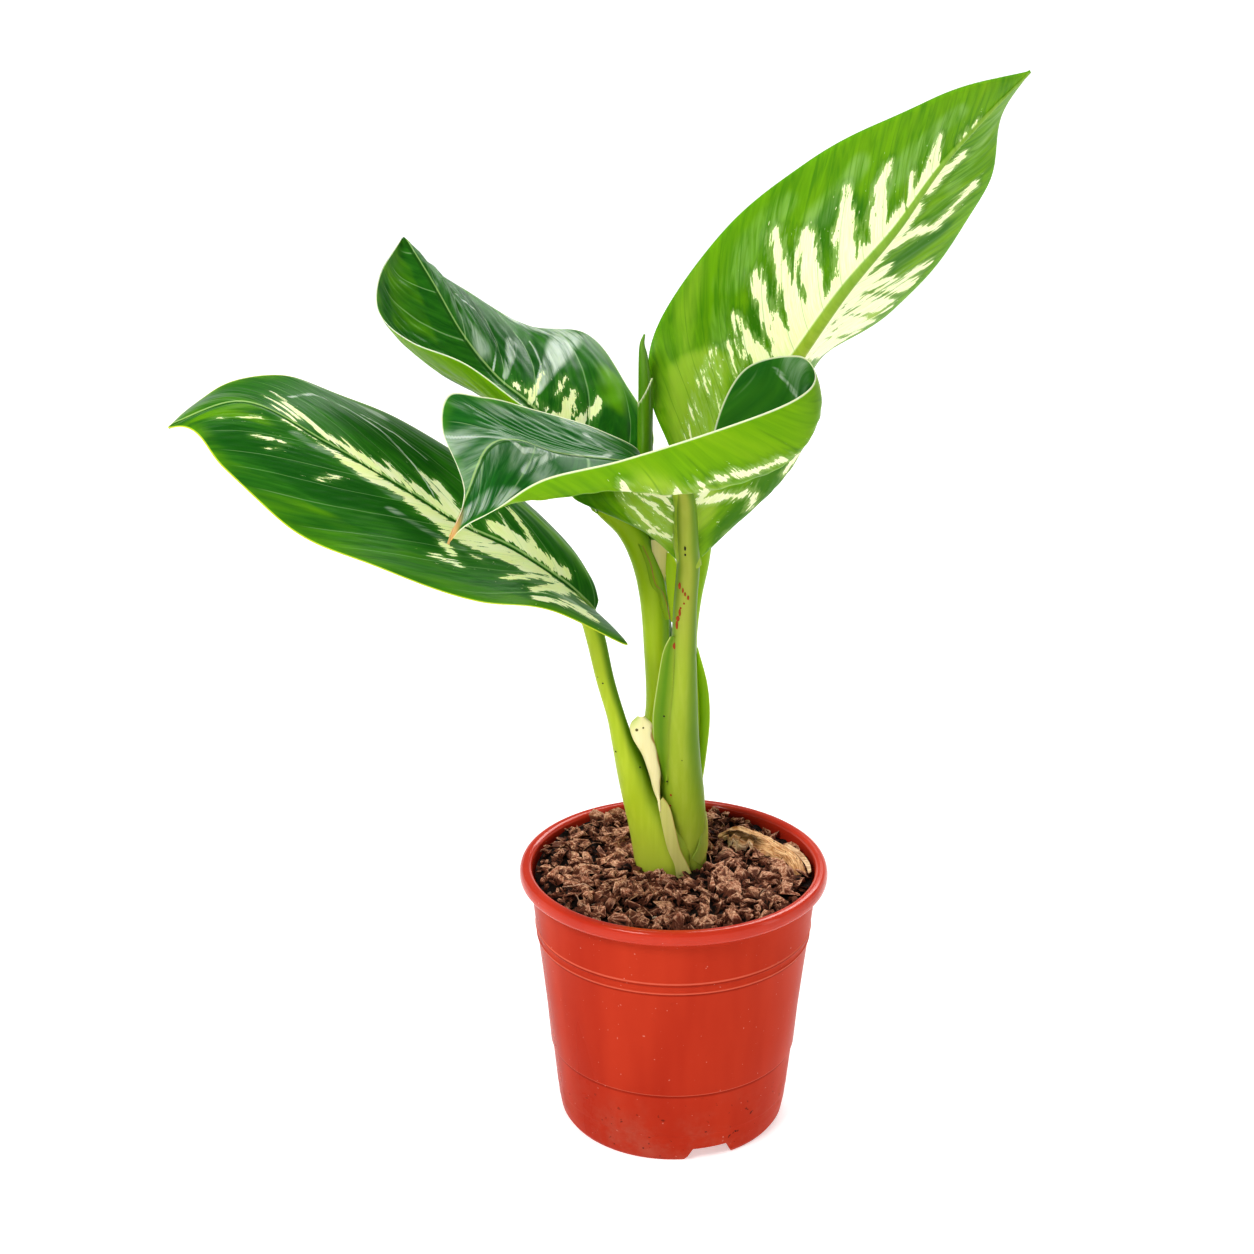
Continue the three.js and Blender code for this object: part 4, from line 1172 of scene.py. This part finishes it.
def lower_face(name, finish):
    look = Shader(f"{name}_lower", 0.45, 0.14)
    streaks, clouds, fine, total, cream, tone = leaf_patterns(look, finish)
    green = look.mix(look.ramp(streaks, 0.2, 0.8), *finish["under"])
    green = look.mix(look.times(look.ramp(clouds, 0.45, 0.75), 0.5), green, (0.26, 0.44, 0.004))
    dusk = look.times(look.ramp(total, -4.5, -0.2), finish["dusk"])
    green = look.mix(dusk, green, (0.040, 0.165, 0.0010))
    # Painted shade darkens the green where a darker place is laid out, and paler places lighten it, partly
    # as a painted glow of light shining through.
    green = look.mix(look.times(look.ramp(tone, -0.2, -1.1), 0.8), green, (0.030, 0.15, 0.0020))
    green = look.mix(look.times(look.ramp(tone, 0.1, 1.1), 0.70), green, (0.42, 0.57, 0.060))
    green = look.mix(look.times(look.ramp(fine, 0.45, 0.8), 0.15), green, (0.055, 0.19, 0.001))
    green = look.mix(look.ramp(total, -2.4, 0.0, 0.0, 0.5), green, (0.42, 0.57, 0.17))
    # Painted sheen, with some thin pale vein lines, where laid out.
    green = look.mix(sheen_and_vein_share(look, fine, streaks, clouds, 0.6), green, (0.34, 0.50, 0.20))
    ivory = look.mix(look.ramp(fine, 0.25, 0.75), (0.80, 0.88, 0.42), (0.95, 0.98, 0.70))
    colour = look.mix(cream, green, ivory)
    colour = look.mix(look.times(vein_lines(look, 0.04), 0.40), colour, (0.045, 0.17, 0.003))
    rib = look.ramp(look.value("rib"), 0.08, 0.4)
    base_rib = look.mix(streaks, (0.24, 0.36, 0.015), (0.44, 0.54, 0.070))
    far_rib = look.mix(streaks, (0.15, 0.30, 0.020), (0.30, 0.46, 0.075))
    colour = look.mix(rib, colour, look.mix(look.ramp(look.value("ripe"), 0.30, 0.60), base_rib, far_rib))
    look.colour(leaf_edge(look, colour, finish))
    look.roughness(look.plus(look.times(clouds, 0.2), 0.34))
    look.bump(look.plus(clouds, streaks), 0.12, 0.0005)
    look.translucent(0.30, (0.6, 1.0, 0.1), 0.0018)
    return look.material


def build_blades():
    for name, blade in BLADES.items():
        finish = FINISH[name]
        points, faces, values, uv = blade_mesh(blade, finish)
        upper = upper_face(name, finish)
        nodes = [f"{name}_blade"]
        leaf = piece(f"{name}_lamina", points, faces, values, upper, "leaf", nodes, uv, sharp=75)
        leaf.data.materials.append(lower_face(name, finish))
        half = len(points) // 2
        for polygon in leaf.data.polygons:
            if min(polygon.vertices) >= half:
                polygon.material_index = 1


# ---- stalks -------------------------------------------------------------------------

# Stations from the soil upwards: centre, half width across and half width front to back.
# The last ones run on into the ridge under the blade.
STALKS = {
    "leaf_2": [
        (5.5, 4.5, 99, 7.6, 6.6), (5.7, 4.3, 120, 8.4, 6.8), (4.0, 0.5, 145.5, 8.8, 7),
        (2.6, -3, 162, 8.4, 6.8), (2.0, -6, 178, 7.8, 6.4), (2.4, -9, 193, 6.7, 6),
        (2.9, -11.5, 208, 5.6, 5.6), (3.1, -13.5, 221, 5, 5.2), (3.6, -14.5, 238, 4.7, 4.8),
        (4.5, -16, 253, 4.6, 4.6), (4.0, -19.5, 264, 4.4, 4.2), (3.5, -22.5, 276, 4.1, 3.8),
        (2.5, -26, 285, 3.6, 3.2), (0, -29.5, 293, 2.6, 2.2),
    ],
    "leaf_1": [
        (-3.5, 1.5, 99, 9.6, 7.8), (-4, 1.5, 111, 11.4, 8.8), (-4.6, 1.5, 120, 12.4, 9.2),
        (-8.7, 1.2, 132.5, 10.4, 8.8), (-13.9, 0, 145.5, 7.6, 8), (-17.6, -2, 159.5, 6.4, 7),
        (-21.4, -4, 173, 4.6, 5.4), (-24.3, -5, 185, 3.7, 4.2), (-28.5, -6, 201, 3.7, 3.8),
        (-32, -6.5, 218, 3.9, 3.6), (-35, -8, 229, 3.8, 3.4), (-40, -11.5, 236.5, 3.2, 2.6),
        (-48, -15, 244, 2.4, 1.6),
    ],
    "leaf_3": [
        (-5, 13, 99, 5.6, 5), (-5.7, 13, 112, 6.4, 5.5), (-7.1, 11, 140, 6.5, 5.5),
        (-7.3, 8, 168, 6, 5.5), (-6.4, 6, 187, 5.4, 5.4), (-7.4, 4.5, 209.5, 5.3, 5.2),
        (-8.7, 4, 232, 5.7, 5), (-12.6, 6, 248, 5.3, 4.8), (-19, 7.5, 261, 5.1, 4.6),
        (-29.3, 9, 270.4, 4.2, 4.2), (-37.5, 11.5, 281, 3.4, 3), (-48, 15, 294, 2.4, 1.8),
    ],
    "leaf_4": [
        (3.5, 14.5, 99, 5.6, 5), (3.7, 14.5, 111, 6.4, 5.5), (5.7, 13, 139, 6.3, 5.6),
        (6.3, 11, 167, 5.6, 5.5), (6.2, 9.5, 184, 5.2, 5.2), (5.6, 9, 199, 4.6, 5),
        (5.2, 9, 213, 4, 4.6), (6.7, 9.5, 230, 4.1, 4.5), (9.5, 10.5, 245, 4.2, 4.4),
        (12.3, 9.5, 262.6, 4, 4), (19, 12, 279, 3.6, 3), (31, 14.5, 303, 3, 2),
    ],
}
STALK_SIDES = 56
STEPS_EACH = 8
# What a stalk's skin can be: how near its edge, how dark with painted shade, and how dried, brown-edged or
# marked.
PLAIN = {"turn": 0.0, "side": 0.0, "edge": 0.0, "dark": 0.0, "dry": 0.0, "brown": 0.0, "mark": 0.0}
SKIN_GRID = (90, 12)
SKIN_HALF_THICKNESS = 0.2
SKIN_BULGE = 0.35
SCAR_HALF_DEPTH = 0.28


def tube(stations, step_in=0.0):
    """A closed skin of elliptical rings, with the turn round it for the material."""
    last = len(stations) - 1
    values = through(stations, np.linspace(0, last, last * STEPS_EACH + 1))
    centres, sizes = values[:, :3], values[:, 3:]
    along = unit(np.gradient(centres, axis=0))
    across = np.array([1.0, 0, 0]) - along * along[:, :1]
    # Where a stalk runs nearly sideways, its width is measured from straight down instead.
    steep = np.linalg.norm(across, axis=1) < 0.6
    other = np.array([0, 0, -1.0]) + along * along[:, 2:]
    other *= np.sign(-along[:, :1] + 1e-9)
    across = unit(np.where(steep[:, None], other, across))
    back = np.cross(along, across)
    turn = np.linspace(0, 2 * np.pi, STALK_SIDES, endpoint=False)
    scale = 1 - step_in * (turn / (2 * np.pi))
    rings = centres[:, None] + across[:, None] * (sizes[:, :1] * np.cos(turn) * scale)[..., None]
    rings = rings + back[:, None] * (sizes[:, 1:2] * np.sin(turn) * scale)[..., None]
    rows = len(values)
    points = np.concatenate([rings.reshape(-1, 3), centres[:1], centres[-1:]])
    faces = [*grid_faces(rows, STALK_SIDES, wrap=True), *caps(rows, STALK_SIDES)]
    angle = np.append(np.tile(turn, rows), [0, 0])
    return points, faces, {**PLAIN, "turn": angle, "side": np.cos(angle)}


def flap(inner, outer, dark=(0.0, 0.0), dry=0.0, brown=0.0, grid=SKIN_GRID):
    """A thin skin between two lines of points, such as a sheath's free margin."""
    t, s = (np.linspace(0, 1, count) for count in grid)
    near, far = along_curve(inner, t), along_curve(outer, t)
    skin = near[:, None] * (1 - s)[:, None] + far[:, None] * s[:, None]
    skin = skin - np.array([0, SKIN_BULGE, 0]) * np.sin(np.pi * s)[:, None]
    to_edge = (1 - s) * np.linalg.norm(far - near, axis=1)[:, None]
    # Painted shade across the skin, from its inner line to its outer edge.
    painted_shade = np.interp(s, np.linspace(0, 1, len(dark)), dark) + 0 * t[:, None]
    values = {
        **PLAIN, "edge": twice(smoothstep(0.5, 0.15, to_edge)), "dark": twice(painted_shade),
        "dry": dry, "brown": brown,
    }
    return *thickened(skin, SKIN_HALF_THICKNESS), values


def marks_on(skin, marks):
    """Small flat scars laid on the front of a skin of points."""
    made = []
    for x, z, width, height, kind in marks:
        away = np.hypot(skin[:, 0] - x, skin[:, 2] - z)
        near = skin[away < max(2.2, np.sort(away)[3])]
        front = near[near[:, 1] < near[:, 1].min() + 1.5]
        y = front[np.argmin(np.hypot(front[:, 0] - x, front[:, 2] - z)), 1]
        size = np.array([width / 2, SCAR_HALF_DEPTH, height / 2])
        points = BALL_POINTS * size + np.array([x, y, z])
        made.append((points, BALL_FACES, {**PLAIN, "mark": kind}))
    return made


def stalk_look(name, low, high, streak, painted_shade_green, left, right, crown):
    look = Shader(f"{name}_stalk", 0.36, 0.16)
    place = look.coordinates("Object")
    height = look.height(place)
    lines = look.drawn(place, (420.0, 420.0, 16.0), 4, 0.55)
    clouds = look.noise(look.stretched(place, (1.0, 1.0, 0.4)), 60.0, 3, 0.5)
    colour = look.mix(clouds, low, high)
    colour = look.mix(look.times(look.ramp(lines, 0.4, 0.75), 0.35), colour, streak)
    colour = look.mix(look.ramp(height, 0.205, 0.245), colour, look.mix(clouds, crown, colour))
    colour = look.mix(look.ramp(height, 0.150, 0.112, 0.0, 0.5), colour, (0.42, 0.48, 0.080))
    # Painted shade: the stalk is darkened towards its left and right sides, less near the soil, and the
    # sheath flaps take their own painted shade.
    side = look.plus(look.value("side"), look.centred(clouds, 0.5))
    painted_shade = look.most(look.ramp(side, 0.05, 0.85, 0.0, right), look.ramp(side, -0.3, -1.0, 0.0, left))
    painted_shade = look.times(painted_shade, look.ramp(height, 0.120, 0.175, 0.3, 1.0))
    colour = look.mix(look.most(painted_shade, look.value("dark")), colour, painted_shade_green)
    tan = look.mix(lines, (0.50, 0.43, 0.15), (0.76, 0.66, 0.36))
    colour = look.mix(look.value("dry"), colour, tan)
    speck = look.ramp(look.cells(place, 150.0), 0.075, 0.045)
    speck = look.times(speck, look.ramp(look.noise(place, 60.0, 1), 0.56, 0.6))
    colour = look.mix(speck, colour, (0.06, 0.07, 0.01))
    rim = look.mix(look.value("brown"), (0.55, 0.68, 0.22), (0.40, 0.15, 0.045))
    colour = look.mix(look.value("edge"), colour, rim)
    colour = look.mix(look.ramp(look.value("mark"), 0.2, 0.8), colour, (0.36, 0.055, 0.012))
    look.colour(look.mix(look.ramp(look.value("mark"), 1.2, 1.8), colour, (0.035, 0.035, 0.008)))
    look.bump(lines, 0.15, 0.0005)
    look.translucent(0.25, (0.7, 1.0, 0.2), 0.003)
    return look.material


# Free parts of the sheaths: the line where each leaves its stalk, its outer edge, the painted
# shade across it from the one to the other, how dry it is and how brown its edge is.
SKINS = {
    "leaf_1": [
        ([(-6.9, -7, 146.2), (-5.9, -7.5, 141), (-4.2, -8, 132), (-2.5, -8, 125.1), (0.2, -7.6, 118),
          (1.2, -7.4, 111)],
         [(-4.7, -7.5, 149.2), (-1.8, -7.5, 144.2), (0.4, -7.5, 135), (2.6, -7, 125), (5.6, -6.2, 118),
          (8.4, -5.6, 111)],
         (0.0, 0.0), 0.60, 0.8),
        ([(13, 2, 138.8), (12.3, 0, 132.8), (11, -2, 127.8), (9.7, -3.5, 123.4), (7.7, -4.5, 119.7)],
         [(13.6, 4, 137), (14.2, 3, 132.8), (14.4, 2, 126.8), (14.1, 1, 120.7), (11.6, -1, 114.7)],
         (0.7, 0.2), 0.15, 0.7),
    ],
    "leaf_2": [
        ([(-3, -7.2, 155), (-2.4, -8.4, 163), (-2.2, -10, 170.8), (-2, -12, 183), (-1.6, -13.3, 191.3),
          (-1.1, -14.9, 201.7), (-0.8, -16, 211.8), (-0.6, -16.6, 218.2), (-0.5, -17, 223.8)],
         [(-4.6, -4, 155), (-6.4, -6, 163), (-8.3, -7.5, 170.8), (-9.1, -9, 183), (-8.7, -11, 191.3),
          (-7.4, -13, 201.7), (-6, -14.5, 211.8), (-4.7, -15.5, 218.2), (-2.5, -17.5, 223.8)],
         (0.25, 0.95, 0.55), 0.0, 0.1),
    ],
    "leaf_3": [
        ([(-15.2, 2.3, 256.2), (-12.2, 1, 248.6), (-10.1, -0.2, 240.2), (-7.6, -0.2, 236), (-5.8, -0.5, 231),
          (-4.4, 0.4, 224.6)],
         [(-13.2, 2, 255.3), (-10.2, 1.5, 248.3), (-8.1, 0, 240), (-5.5, 1, 236.7), (-3.6, 1.2, 231.2),
          (-2.2, 1, 224.4)],
         (0.45, 0.55), 0.0, 1.0),
        ([(-10, 4, 257.2), (-9.3, 4, 250.4), (-8.3, 4, 243.6), (-7.1, 4, 238.5)],
         [(-3.1, 4.5, 257), (-3.3, 4.5, 250.2), (-3.9, 4.5, 243.4), (-4.6, 4.5, 236.6)],
         (0.0, 0.0), 1.0, 0.6),
        ([(-3.5, 4, 252.1), (-3.9, 3.7, 246), (-3.7, 3.2, 239.5), (-3, 2.5, 232.1), (-1.8, 1.5, 223.4)],
         [(-1.1, 3.5, 251.4), (0.7, 3, 246.5), (0.8, 2.5, 238.6), (0.8, 2, 231), (0.6, 1, 222)],
         (0.0, 0.0), 0.0, 0.0),
    ],
    "leaf_4": [
        ([(8.4, 8.5, 143), (9.6, 8, 160), (10.2, 7.2, 176), (9.8, 6.6, 190), (9, 7, 206)],
         [(11.2, 8.5, 143), (13.4, 8, 160), (14.8, 7, 178), (13.6, 6.2, 194), (9.4, 7, 210)],
         (0.5, 0.0), 0.0, 0.0),
    ],
}
# Scars on the fronts of the stalks: x, z, width, height, then 1 for rusty or 2 for dark.
MARKS = {
    "leaf_1": [(-24.1, 169.7, 0.9, 0.9, 2), (-14.3, 162.5, 0.9, 0.9, 2)],
    "leaf_2": [
        (3, 262.8, 0.9, 2.2, 2), (3.1, 259.8, 0.8, 1.2, 2), (1.3, 245.7, 1.7, 3.0, 1),
        (2.4, 243.9, 0.8, 2.4, 1), (3.3, 242.4, 0.8, 2.0, 1), (4.5, 240.9, 0.9, 2.0, 1),
        (2.9, 238.4, 0.7, 1.0, 1), (1.7, 236.3, 1.1, 1.1, 1), (1.3, 234.4, 1.2, 3.2, 1),
        (0.7, 231.8, 2.0, 2.4, 1), (0.3, 229.0, 1.4, 4.0, 1), (-0.4, 219.8, 2.2, 3.4, 1),
        (-4.6, 187.3, 0.9, 0.9, 2), (-6.2, 182, 0.9, 0.9, 2), (-3.1, 156.2, 0.8, 0.8, 2),
        (2.9, 167, 0.5, 0.5, 2), (-1.4, 149.4, 0.9, 1.2, 1), (-1.6, 144, 1.0, 0.7, 1),
    ],
}
# Each stalk's shades: darkest, lightest, its lines, the green of its painted shade and how strong
# that is at the left and right, and the colour it takes higher up.
STALK_SHADES = {
    "leaf_1": (
        (0.34, 0.45, 0.015), (0.48, 0.58, 0.040), (0.54, 0.64, 0.060), (0.070, 0.20, 0.001), 0.10, 0.85,
        (0.34, 0.48, 0.010),
    ),
    "leaf_2": (
        (0.27, 0.37, 0.018), (0.38, 0.47, 0.050), (0.44, 0.52, 0.080), (0.085, 0.21, 0.003), 0.75, 0.80,
        (0.40, 0.39, 0.075),
    ),
    "leaf_3": (
        (0.34, 0.48, 0.010), (0.47, 0.60, 0.035), (0.54, 0.66, 0.060), (0.100, 0.27, 0.001), 0.12, 0.75,
        (0.34, 0.53, 0.012),
    ),
    "leaf_4": (
        (0.20, 0.38, 0.001), (0.32, 0.50, 0.003), (0.40, 0.56, 0.010), (0.060, 0.20, 0.001), 0.50, 0.10,
        (0.26, 0.46, 0.003),
    ),
}


def build_stalks():
    for name, stations in STALKS.items():
        parts = [tube(stations)]
        parts += [flap(*skin) for skin in SKINS.get(name, [])]
        skin = joined(parts)[0]
        parts += marks_on(skin, MARKS.get(name, []))
        look = stalk_look(name, *STALK_SHADES[name])
        piece(f"{name}_stalk", *joined(parts), look, "stalk", [f"{name}_petiole"], sharp=60)


# The free tip of leaf 1's sheath: a cream tongue with a rolled rim and two dark dots.
LIGULE_SPINE = [
    (-5.9, -7.6, 143), (-6.4, -7.6, 147.5), (-7.4, -7.5, 152.5), (-8.2, -8.2, 160.2), (-10.4, -9.0, 169.5),
    (-13.4, -9.4, 177.5), (-13.9, -9.0, 182.2), (-13.9, -8.4, 185.6),
]
LIGULE_HALF_WIDTHS = [0.15, 0.5, 1.3, 2.3, 3.0, 4.0, 4.3, 1.2]
LIGULE_NARROWEST = 0.3
LIGULE_HALF_THICKNESS = 0.2
LIGULE_GRID = (90, 25)
LIGULE_DOTS = [(-15.6, -9.7, 180.2, 0.7), (-13.0, -9.9, 181.2, 0.4)]
DOT_HALF_DEPTH = 0.4


def cream_sheath():
    look = Shader("cream_sheath", 0.5, 0.4)
    lines = look.drawn(look.coordinates("Object"), (500.0, 500.0, 24.0), 4, 0.55)
    colour = look.mix(lines, (0.74, 0.65, 0.28), (0.92, 0.84, 0.50))
    colour = look.mix(look.value("tip"), colour, (0.50, 0.62, 0.16))
    colour = look.mix(look.value("edge"), colour, (0.42, 0.24, 0.07))
    look.colour(look.mix(look.value("mark"), colour, (0.13, 0.11, 0.02)))
    look.bump(lines, 0.3, 0.0005)
    look.translucent(0.2, (1.0, 0.9, 0.4), 0.002)
    return look.material


def build_ligule():
    rows, columns = LIGULE_GRID
    along = np.linspace(0, 1, rows)
    t = along[:, None]
    s = np.linspace(-1, 1, columns)
    spine = along_curve(LIGULE_SPINE, along)
    half = np.maximum(along_curve(LIGULE_HALF_WIDTHS, along), LIGULE_NARROWEST)
    upwards = unit(np.gradient(spine, axis=0))
    side = unit(np.cross(upwards, np.array([0, -1.0, 0])))
    out = np.cross(side, upwards)
    lift = 0.5 * (1 - s**2) - 0.9 * s**4
    grid = spine[:, None] + side[:, None] * (half * s)[..., None] + out[:, None] * lift[:, None]
    # The right edge is brown and ragged below, and the top is greener.
    brown = smoothstep(0.80, 0.95, s + 0.08 * np.sin(40 * t)) * smoothstep(0.9, 0.7, t)
    green = smoothstep(0.70, 0.95, t) * smoothstep(0.5, -1.0, s) * 0.8
    values = {"edge": twice(brown), "tip": twice(green), "mark": 0.0}
    parts = [(*thickened(grid, -LIGULE_HALF_THICKNESS), values)]
    for x, y, z, radius in LIGULE_DOTS:
        dot = BALL_POINTS * np.array([radius, DOT_HALF_DEPTH, radius]) + np.array([x, y, z])
        parts.append((dot, BALL_FACES, {"edge": 0.0, "tip": 0.0, "mark": 1.0}))
    piece("leaf_1_sheath_tongue", *joined(parts), cream_sheath(), "stalk", ["leaf_1_petiole"])


# ---- new leaf -----------------------------------------------------------------------

# The rolled new leaf, as stations like the stalks': its core, and the outer wrap whose rim
# slants from high at the right to low at the left and ends in a pale margin.
SPEAR_CORE = [
    (2.5, 9.5, 176, 1.2, 1.2), (-0.5, 10.5, 192, 2.0, 2.0), (-2.7, 11, 207, 2.3, 2.3),
    (-7, 11, 240, 2.6, 2.6), (-10.8, 9, 272, 2.7, 2.7), (-12.5, 6, 294, 2.7, 2.7),
    (-12.6, 5, 319, 2.6, 2.6), (-13.2, 5, 331, 1.9, 1.9), (-13.7, 5, 337, 1.0, 1.0),
    (-12.8, 5, 341, 0.35, 0.35),
]
SPEAR_WRAP = [
    (2.5, 9.5, 176, 1.5, 1.5), (-0.5, 10.5, 192, 2.3, 2.3), (-2.7, 11, 207, 2.7, 2.7),
    (-7, 11, 240, 3.1, 3.1), (-10.8, 9, 272, 3.2, 3.2), (-12.5, 6, 294, 3.2, 3.2),
    (-12.5, 5, 312, 3.15, 3.15), (-12.4, 5, 325, 3.0, 3.0),
]
WRAP_STEP = 0.12
WRAP_TOP, WRAP_SLANT, WRAP_DROP = 325.0, 10.0, 1.5
WRAP_EDGE_FROM = 300


def spear_look():
    look = Shader("new_leaf", 0.32, 0.5)
    lines = look.drawn(look.coordinates("Object"), (500.0, 500.0, 20.0), 4, 0.55)
    colour = look.mix(lines, (0.05, 0.19, 0.004), (0.17, 0.36, 0.008))
    look.colour(look.mix(look.value("edge"), colour, (0.80, 0.86, 0.55)))
    look.bump(lines, 0.2, 0.0005)
    look.translucent(0.25, (0.7, 1.0, 0.2), 0.002)
    return look.material


def build_spear():
    points, faces, values = tube(SPEAR_WRAP, step_in=WRAP_STEP)
    height = points[:, 2]
    slant = WRAP_TOP - WRAP_SLANT * (1 - np.cos(values["turn"])) / 2 - WRAP_DROP
    values["edge"] = smoothstep(1.1, 0.2, slant - height) * (height > WRAP_EDGE_FROM)
    points[:, 2] = np.minimum(height, slant)
    roll = joined([tube(SPEAR_CORE), (points, faces, values)])
    piece("new_leaf_roll", *roll, spear_look(), "new_leaf", ["new_leaf_spear"], sharp=60)


# ---- studio -------------------------------------------------------------------------

# The camera stands where the photograph was taken from, worked out from the pot's ellipses:
# 900 mm from a point 19.61 mm left of the pot's axis and 221.4 mm up, looking down 20.36
# degrees. The focal length is 2219.4 pixels of a 1254 pixel wide picture.
CAMERA_TARGET = (-19.61, 0.0, 221.4)
CAMERA_DISTANCE = 900.0
CAMERA_PITCH = math.radians(20.36)
CAMERA_CLIPS = (0.01, 20)
SENSOR = 36.0
FOCAL_PIXELS = 2219.4
PICTURE_PIXELS = 1254
# The floor, in metres: where its level part ends, how it sweeps up, and how bright it glows.
FLOOR_STEPS = (0.01, 0.5, 1.0, 1.5, 2.0)
FLOOR_RADIUS = 2.6
SWEEP_RADIUS = 1.2
SWEEP_STEPS = 24
FLOOR_SIDES = 96
FLOOR_GLOW = 0.42
BACKDROP_GLOW = 0.62
# Soft lamps: where each stands and how large (in metres) and how strong it is.
LAMPS = {
    "key": ((-520, -700, 1000), (0.4, 0.4), 8.5),
    "window": ((350, 880, 990), (0.6, 0.6), 7.0),
    "skylight": ((10, 660, 1330), (0.45, 0.45), 3.8),
    "right": ((850, -300, 520), (0.2, 0.7), 0.8),
}
LAMP_AIM = (-10, 0, 230)
WORLD_STRENGTH = 0.22


def add_camera():
    data = bpy.data.cameras.new("camera")
    data.sensor_width = SENSOR
    data.lens = FOCAL_PIXELS / PICTURE_PIXELS * SENSOR
    data.clip_start, data.clip_end = CAMERA_CLIPS
    back = np.array([0, -math.cos(CAMERA_PITCH), math.sin(CAMERA_PITCH)]) * CAMERA_DISTANCE
    camera = bpy.data.objects.new("camera", data)
    camera.location = placed(np.array(CAMERA_TARGET) + back)
    camera.rotation_euler = (math.pi / 2 - CAMERA_PITCH, 0, 0)
    bpy.context.scene.collection.objects.link(camera)
    bpy.context.scene.camera = camera


def add_floor():
    """A round pale floor that sweeps up into a backdrop all the way round."""
    look = Shader("floor", 0.8, 0.0)
    look.colour((0.78, 0.78, 0.78))
    look.main.inputs["Emission Color"].default_value = (1, 1, 1, 1)
    far = look.ramp(look.value("away"), 0.5, 2.0, FLOOR_GLOW, BACKDROP_GLOW)
    look.feed(look.main.inputs["Emission Strength"], far)
    bend = np.linspace(0, np.pi / 2, SWEEP_STEPS)
    radii = np.r_[FLOOR_STEPS, FLOOR_RADIUS + SWEEP_RADIUS * np.sin(bend)]
    heights = np.r_[np.zeros(len(FLOOR_STEPS)), SWEEP_RADIUS * (1 - np.cos(bend))]
    rings = [ring(circle(FLOOR_SIDES), r, z) for r, z in zip(radii, heights)]
    faces = grid_faces(len(radii), FLOOR_SIDES, wrap=True, flip=True).tolist()
    mesh = bpy.data.meshes.new("floor")
    mesh.from_pydata(np.concatenate(rings).tolist(), [], [*faces, list(range(FLOOR_SIDES))])
    mesh.polygons.foreach_set("use_smooth", np.ones(len(mesh.polygons), bool))
    away = mesh.attributes.new("away", "FLOAT", "POINT")
    away.data.foreach_set("value", np.repeat(radii, FLOOR_SIDES).astype(np.float32))
    mesh.materials.append(look.material)
    floor = bpy.data.objects.new("floor", mesh)
    bpy.context.scene.collection.objects.link(floor)


def add_light():
    world = bpy.data.worlds.new("studio")
    world.use_nodes = True
    background = world.node_tree.nodes["Background"]
    background.inputs["Color"].default_value = (1, 1, 1, 1)
    background.inputs["Strength"].default_value = WORLD_STRENGTH
    bpy.context.scene.world = world
    for name, (place, size, power) in LAMPS.items():
        data = bpy.data.lights.new(name, "AREA")
        data.shape = "RECTANGLE"
        data.size, data.size_y = size
        data.energy = power
        lamp = bpy.data.objects.new(name, data)
        lamp.location = placed(place)
        towards = Vector(placed(LAMP_AIM)) - lamp.location
        lamp.rotation_euler = towards.to_track_quat("-Z", "Y").to_euler()
        bpy.context.scene.collection.objects.link(lamp)


bpy.context.scene.view_settings.view_transform = "Standard"
bpy.context.scene.view_settings.look = "Medium High Contrast"
add_camera()
add_floor()
add_light()
build_pot()
build_soil()
build_scrap()
build_blades()
build_stalks()
build_ligule()
build_spear()
